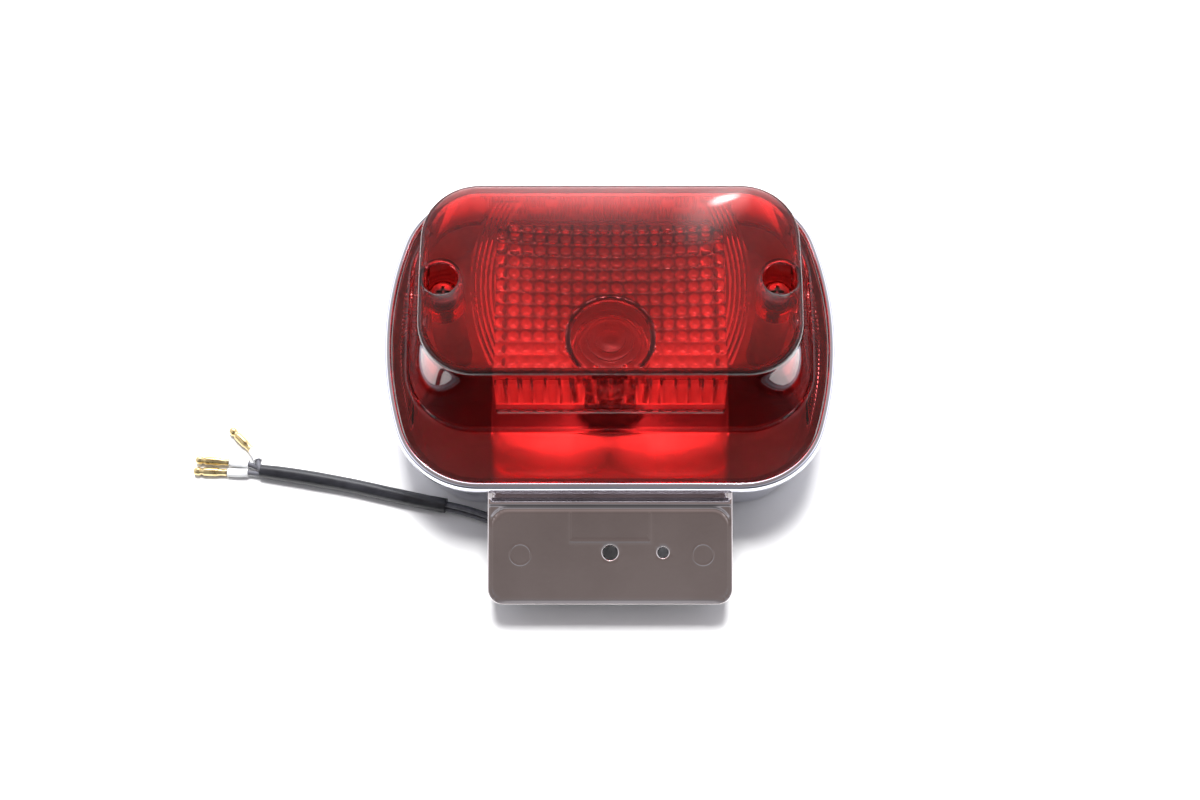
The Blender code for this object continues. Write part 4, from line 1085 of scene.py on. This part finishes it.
def fill_plate(shell, border, holes, points, lift, part=0):
    """Fills the plate between its border and its holes, triangulated in the plate's own plane."""
    c, s = math.cos(PLATE_TILT), math.sin(PLATE_TILT)
    flat = Shell()
    loops = [border, *holes]
    rows = [flat.loop([(v[0], (v[1] - PLATE_ORIGIN.y) * c + (v[2] - PLATE_ORIGIN.z) * s, 0.0)
                       for v in (shell.verts[k] for k in row)]) for row in loops]
    flat.fill(rows[0], rows[1:], points, plain)
    known = [k for row in loops for k in row]
    known += shell.loop([on_plate(x, y, plate_face(x, y) + lift) for x, y in points])
    for face in flat.faces:
        shell.cap((known[k] for k in face), part)


def tab_loops():
    """Sections of the tab from one side to the other, with rounded edges."""
    top = PLATE_ORIGIN.z - LEDGE_DROP - 0.8
    loops = []
    for x, shrink in ((-1.0, 0.5), (-0.985, 0.2), (-0.96, 0.0), (0.96, 0.0), (0.985, 0.2), (1.0, 0.5)):
        foot, head = (RIM_Y - (RIM[1] - wall_inset(z)) - 0.3 for z in (TAB_BOTTOM + shrink, top))
        loops.append([(x * TAB_HALF_W, y, z) for y, z in (
            (foot - shrink, TAB_BOTTOM + shrink), (foot - SHEET + shrink, TAB_BOTTOM + shrink),
            (head - SHEET + shrink, top), (head - shrink, top))])
    return loops


make_housing()
make_lens()
make_reflector()
make_bulb()
make_spring()
make_bracket()


# CAD nodes that keep their shape, by finish


KEPT = {
    "foam": ("lens_gasket",),
    "steel": ("bracket_screw_left", "bracket_screw_right", "socket_rivet_lower", "socket_rivet_upper"),
    "brass": ("mounting_insert_left", "mounting_insert_right", "socket_contact_tail", "socket_contact_brake"),
    "dark_screw": ("lens_screw_left", "lens_screw_right"),
    "rubber": ("lens_screw_washer_left", "lens_screw_washer_right", "cable_grommet"),
    "nickel": ("bulb_socket", "bulb_base"),
    "phenolic": ("socket_insulator", "contact_plunger", "bulb_insulator"),
    "solder": ("bulb_contact_tail", "bulb_contact_brake"),
    "glass": ("bulb_stem",),
    "tungsten": ("filament_brake", "filament_tail"),
    "wire": ("lead_brake", "lead_earth", "lead_tail"),
}
for finish_name, kept_nodes in KEPT.items():
    for node in kept_nodes:
        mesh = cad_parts[node].data
        mesh.materials.clear()
        mesh.materials.append(FINISHES[finish_name])


# Studio


def lobe(graph, direction, spread, colour):
    """A soft patch of light round a direction. spread gives its reach along X, Y and Z."""
    away = graph.vector("SUBTRACT", graph.coords("Generated"), Vector(direction).normalized())
    reach = graph.vector("LENGTH", graph.vector("DIVIDE", away, spread))
    return graph.ramp(reach, ((0.0, colour), (1.0, (0.0, 0.0, 0.0))), "EASE")


def make_world():
    """A white tent round the table, dim overhead and nearly dark in front, with a bright wall and one small
    hot spot behind the lamp."""
    world = bpy.data.worlds.new("studio")
    bpy.context.scene.world = world
    world.use_nodes = True
    graph = Graph(world.node_tree)
    axes = graph.add("SeparateXYZ", {"Vector": graph.coords("Generated")}).outputs
    total = graph.ramp(axes["Z"], (
        (0.0, (1.05, 1.05, 1.08)), (0.50, (1.45, 1.45, 1.55)), (0.72, (2.3, 2.3, 2.5)),
        (0.82, (1.9, 1.9, 2.05)), (0.865, (0.80, 0.78, 0.82)), (0.90, (0.72, 0.63, 0.62)),
        (0.94, (0.47, 0.39, 0.38))))
    for direction, spread, colour in (
        ((0.0, 0.76, 0.65), (0.50, 0.36, 0.36), (15.0, 15.0, 15.2)),
        (HOT_SPOT, (0.034, 0.10, 0.10), (6.0, 6.0, 6.0)),
        (HOT_SPOT, (0.010, 0.028, 0.028), (50.0, 50.0, 50.0)),
    ):
        light = lobe(graph, direction, spread, colour)
        total = graph.add("Mix", {"Factor": 1.0, 6: total, 7: light},
                          data_type="RGBA", blend_type="ADD").outputs[2]
    front = graph.add("MapRange", {"Value": axes["Y"], "From Min": -1.0, "From Max": 0.3, "To Min": 0.06,
                                   "To Max": 0.72}, interpolation_type="SMOOTHSTEP")
    back = graph.nodes["Background"].inputs
    graph.feed(back["Color"], total)
    graph.feed(back["Strength"], front.outputs["Result"])


def make_floor():
    """Wide pale sheet that carries on out of view."""
    mesh = bpy.data.meshes.new("floor")
    bm = bmesh.new()
    bmesh.ops.create_grid(bm, x_segments=12, y_segments=12, size=FLOOR_REACH)
    bm.to_mesh(mesh)
    bm.free()
    mesh.materials.append(finish("studio_floor", (0.74, 0.74, 0.74), (0.76, 0.76, 0.76), (0.55, 0.65), 0.0,
                                 6.0))
    add_object("floor", mesh)


def make_key_light():
    """Square light high up behind the lamp, which is left out of reflections and of what shines through."""
    data = bpy.data.lights.new("key", "AREA")
    data.shape = "RECTANGLE"
    data.size = data.size_y = KEY_SIZE
    data.energy = KEY_POWER
    light = add_object("key", data)
    light.location = KEY_AT
    light.rotation_euler = (-KEY_AT).to_track_quat("-Z", "Y").to_euler()
    light.visible_glossy = False
    light.visible_transmission = False


def make_studio():
    make_world()
    make_floor()
    make_key_light()
    scene = bpy.context.scene
    scene.view_settings.view_transform = "Standard"
    scene.cycles.glossy_bounces = 10
    scene.cycles.transmission_bounces = 16
    scene.cycles.max_bounces = 18


make_studio()
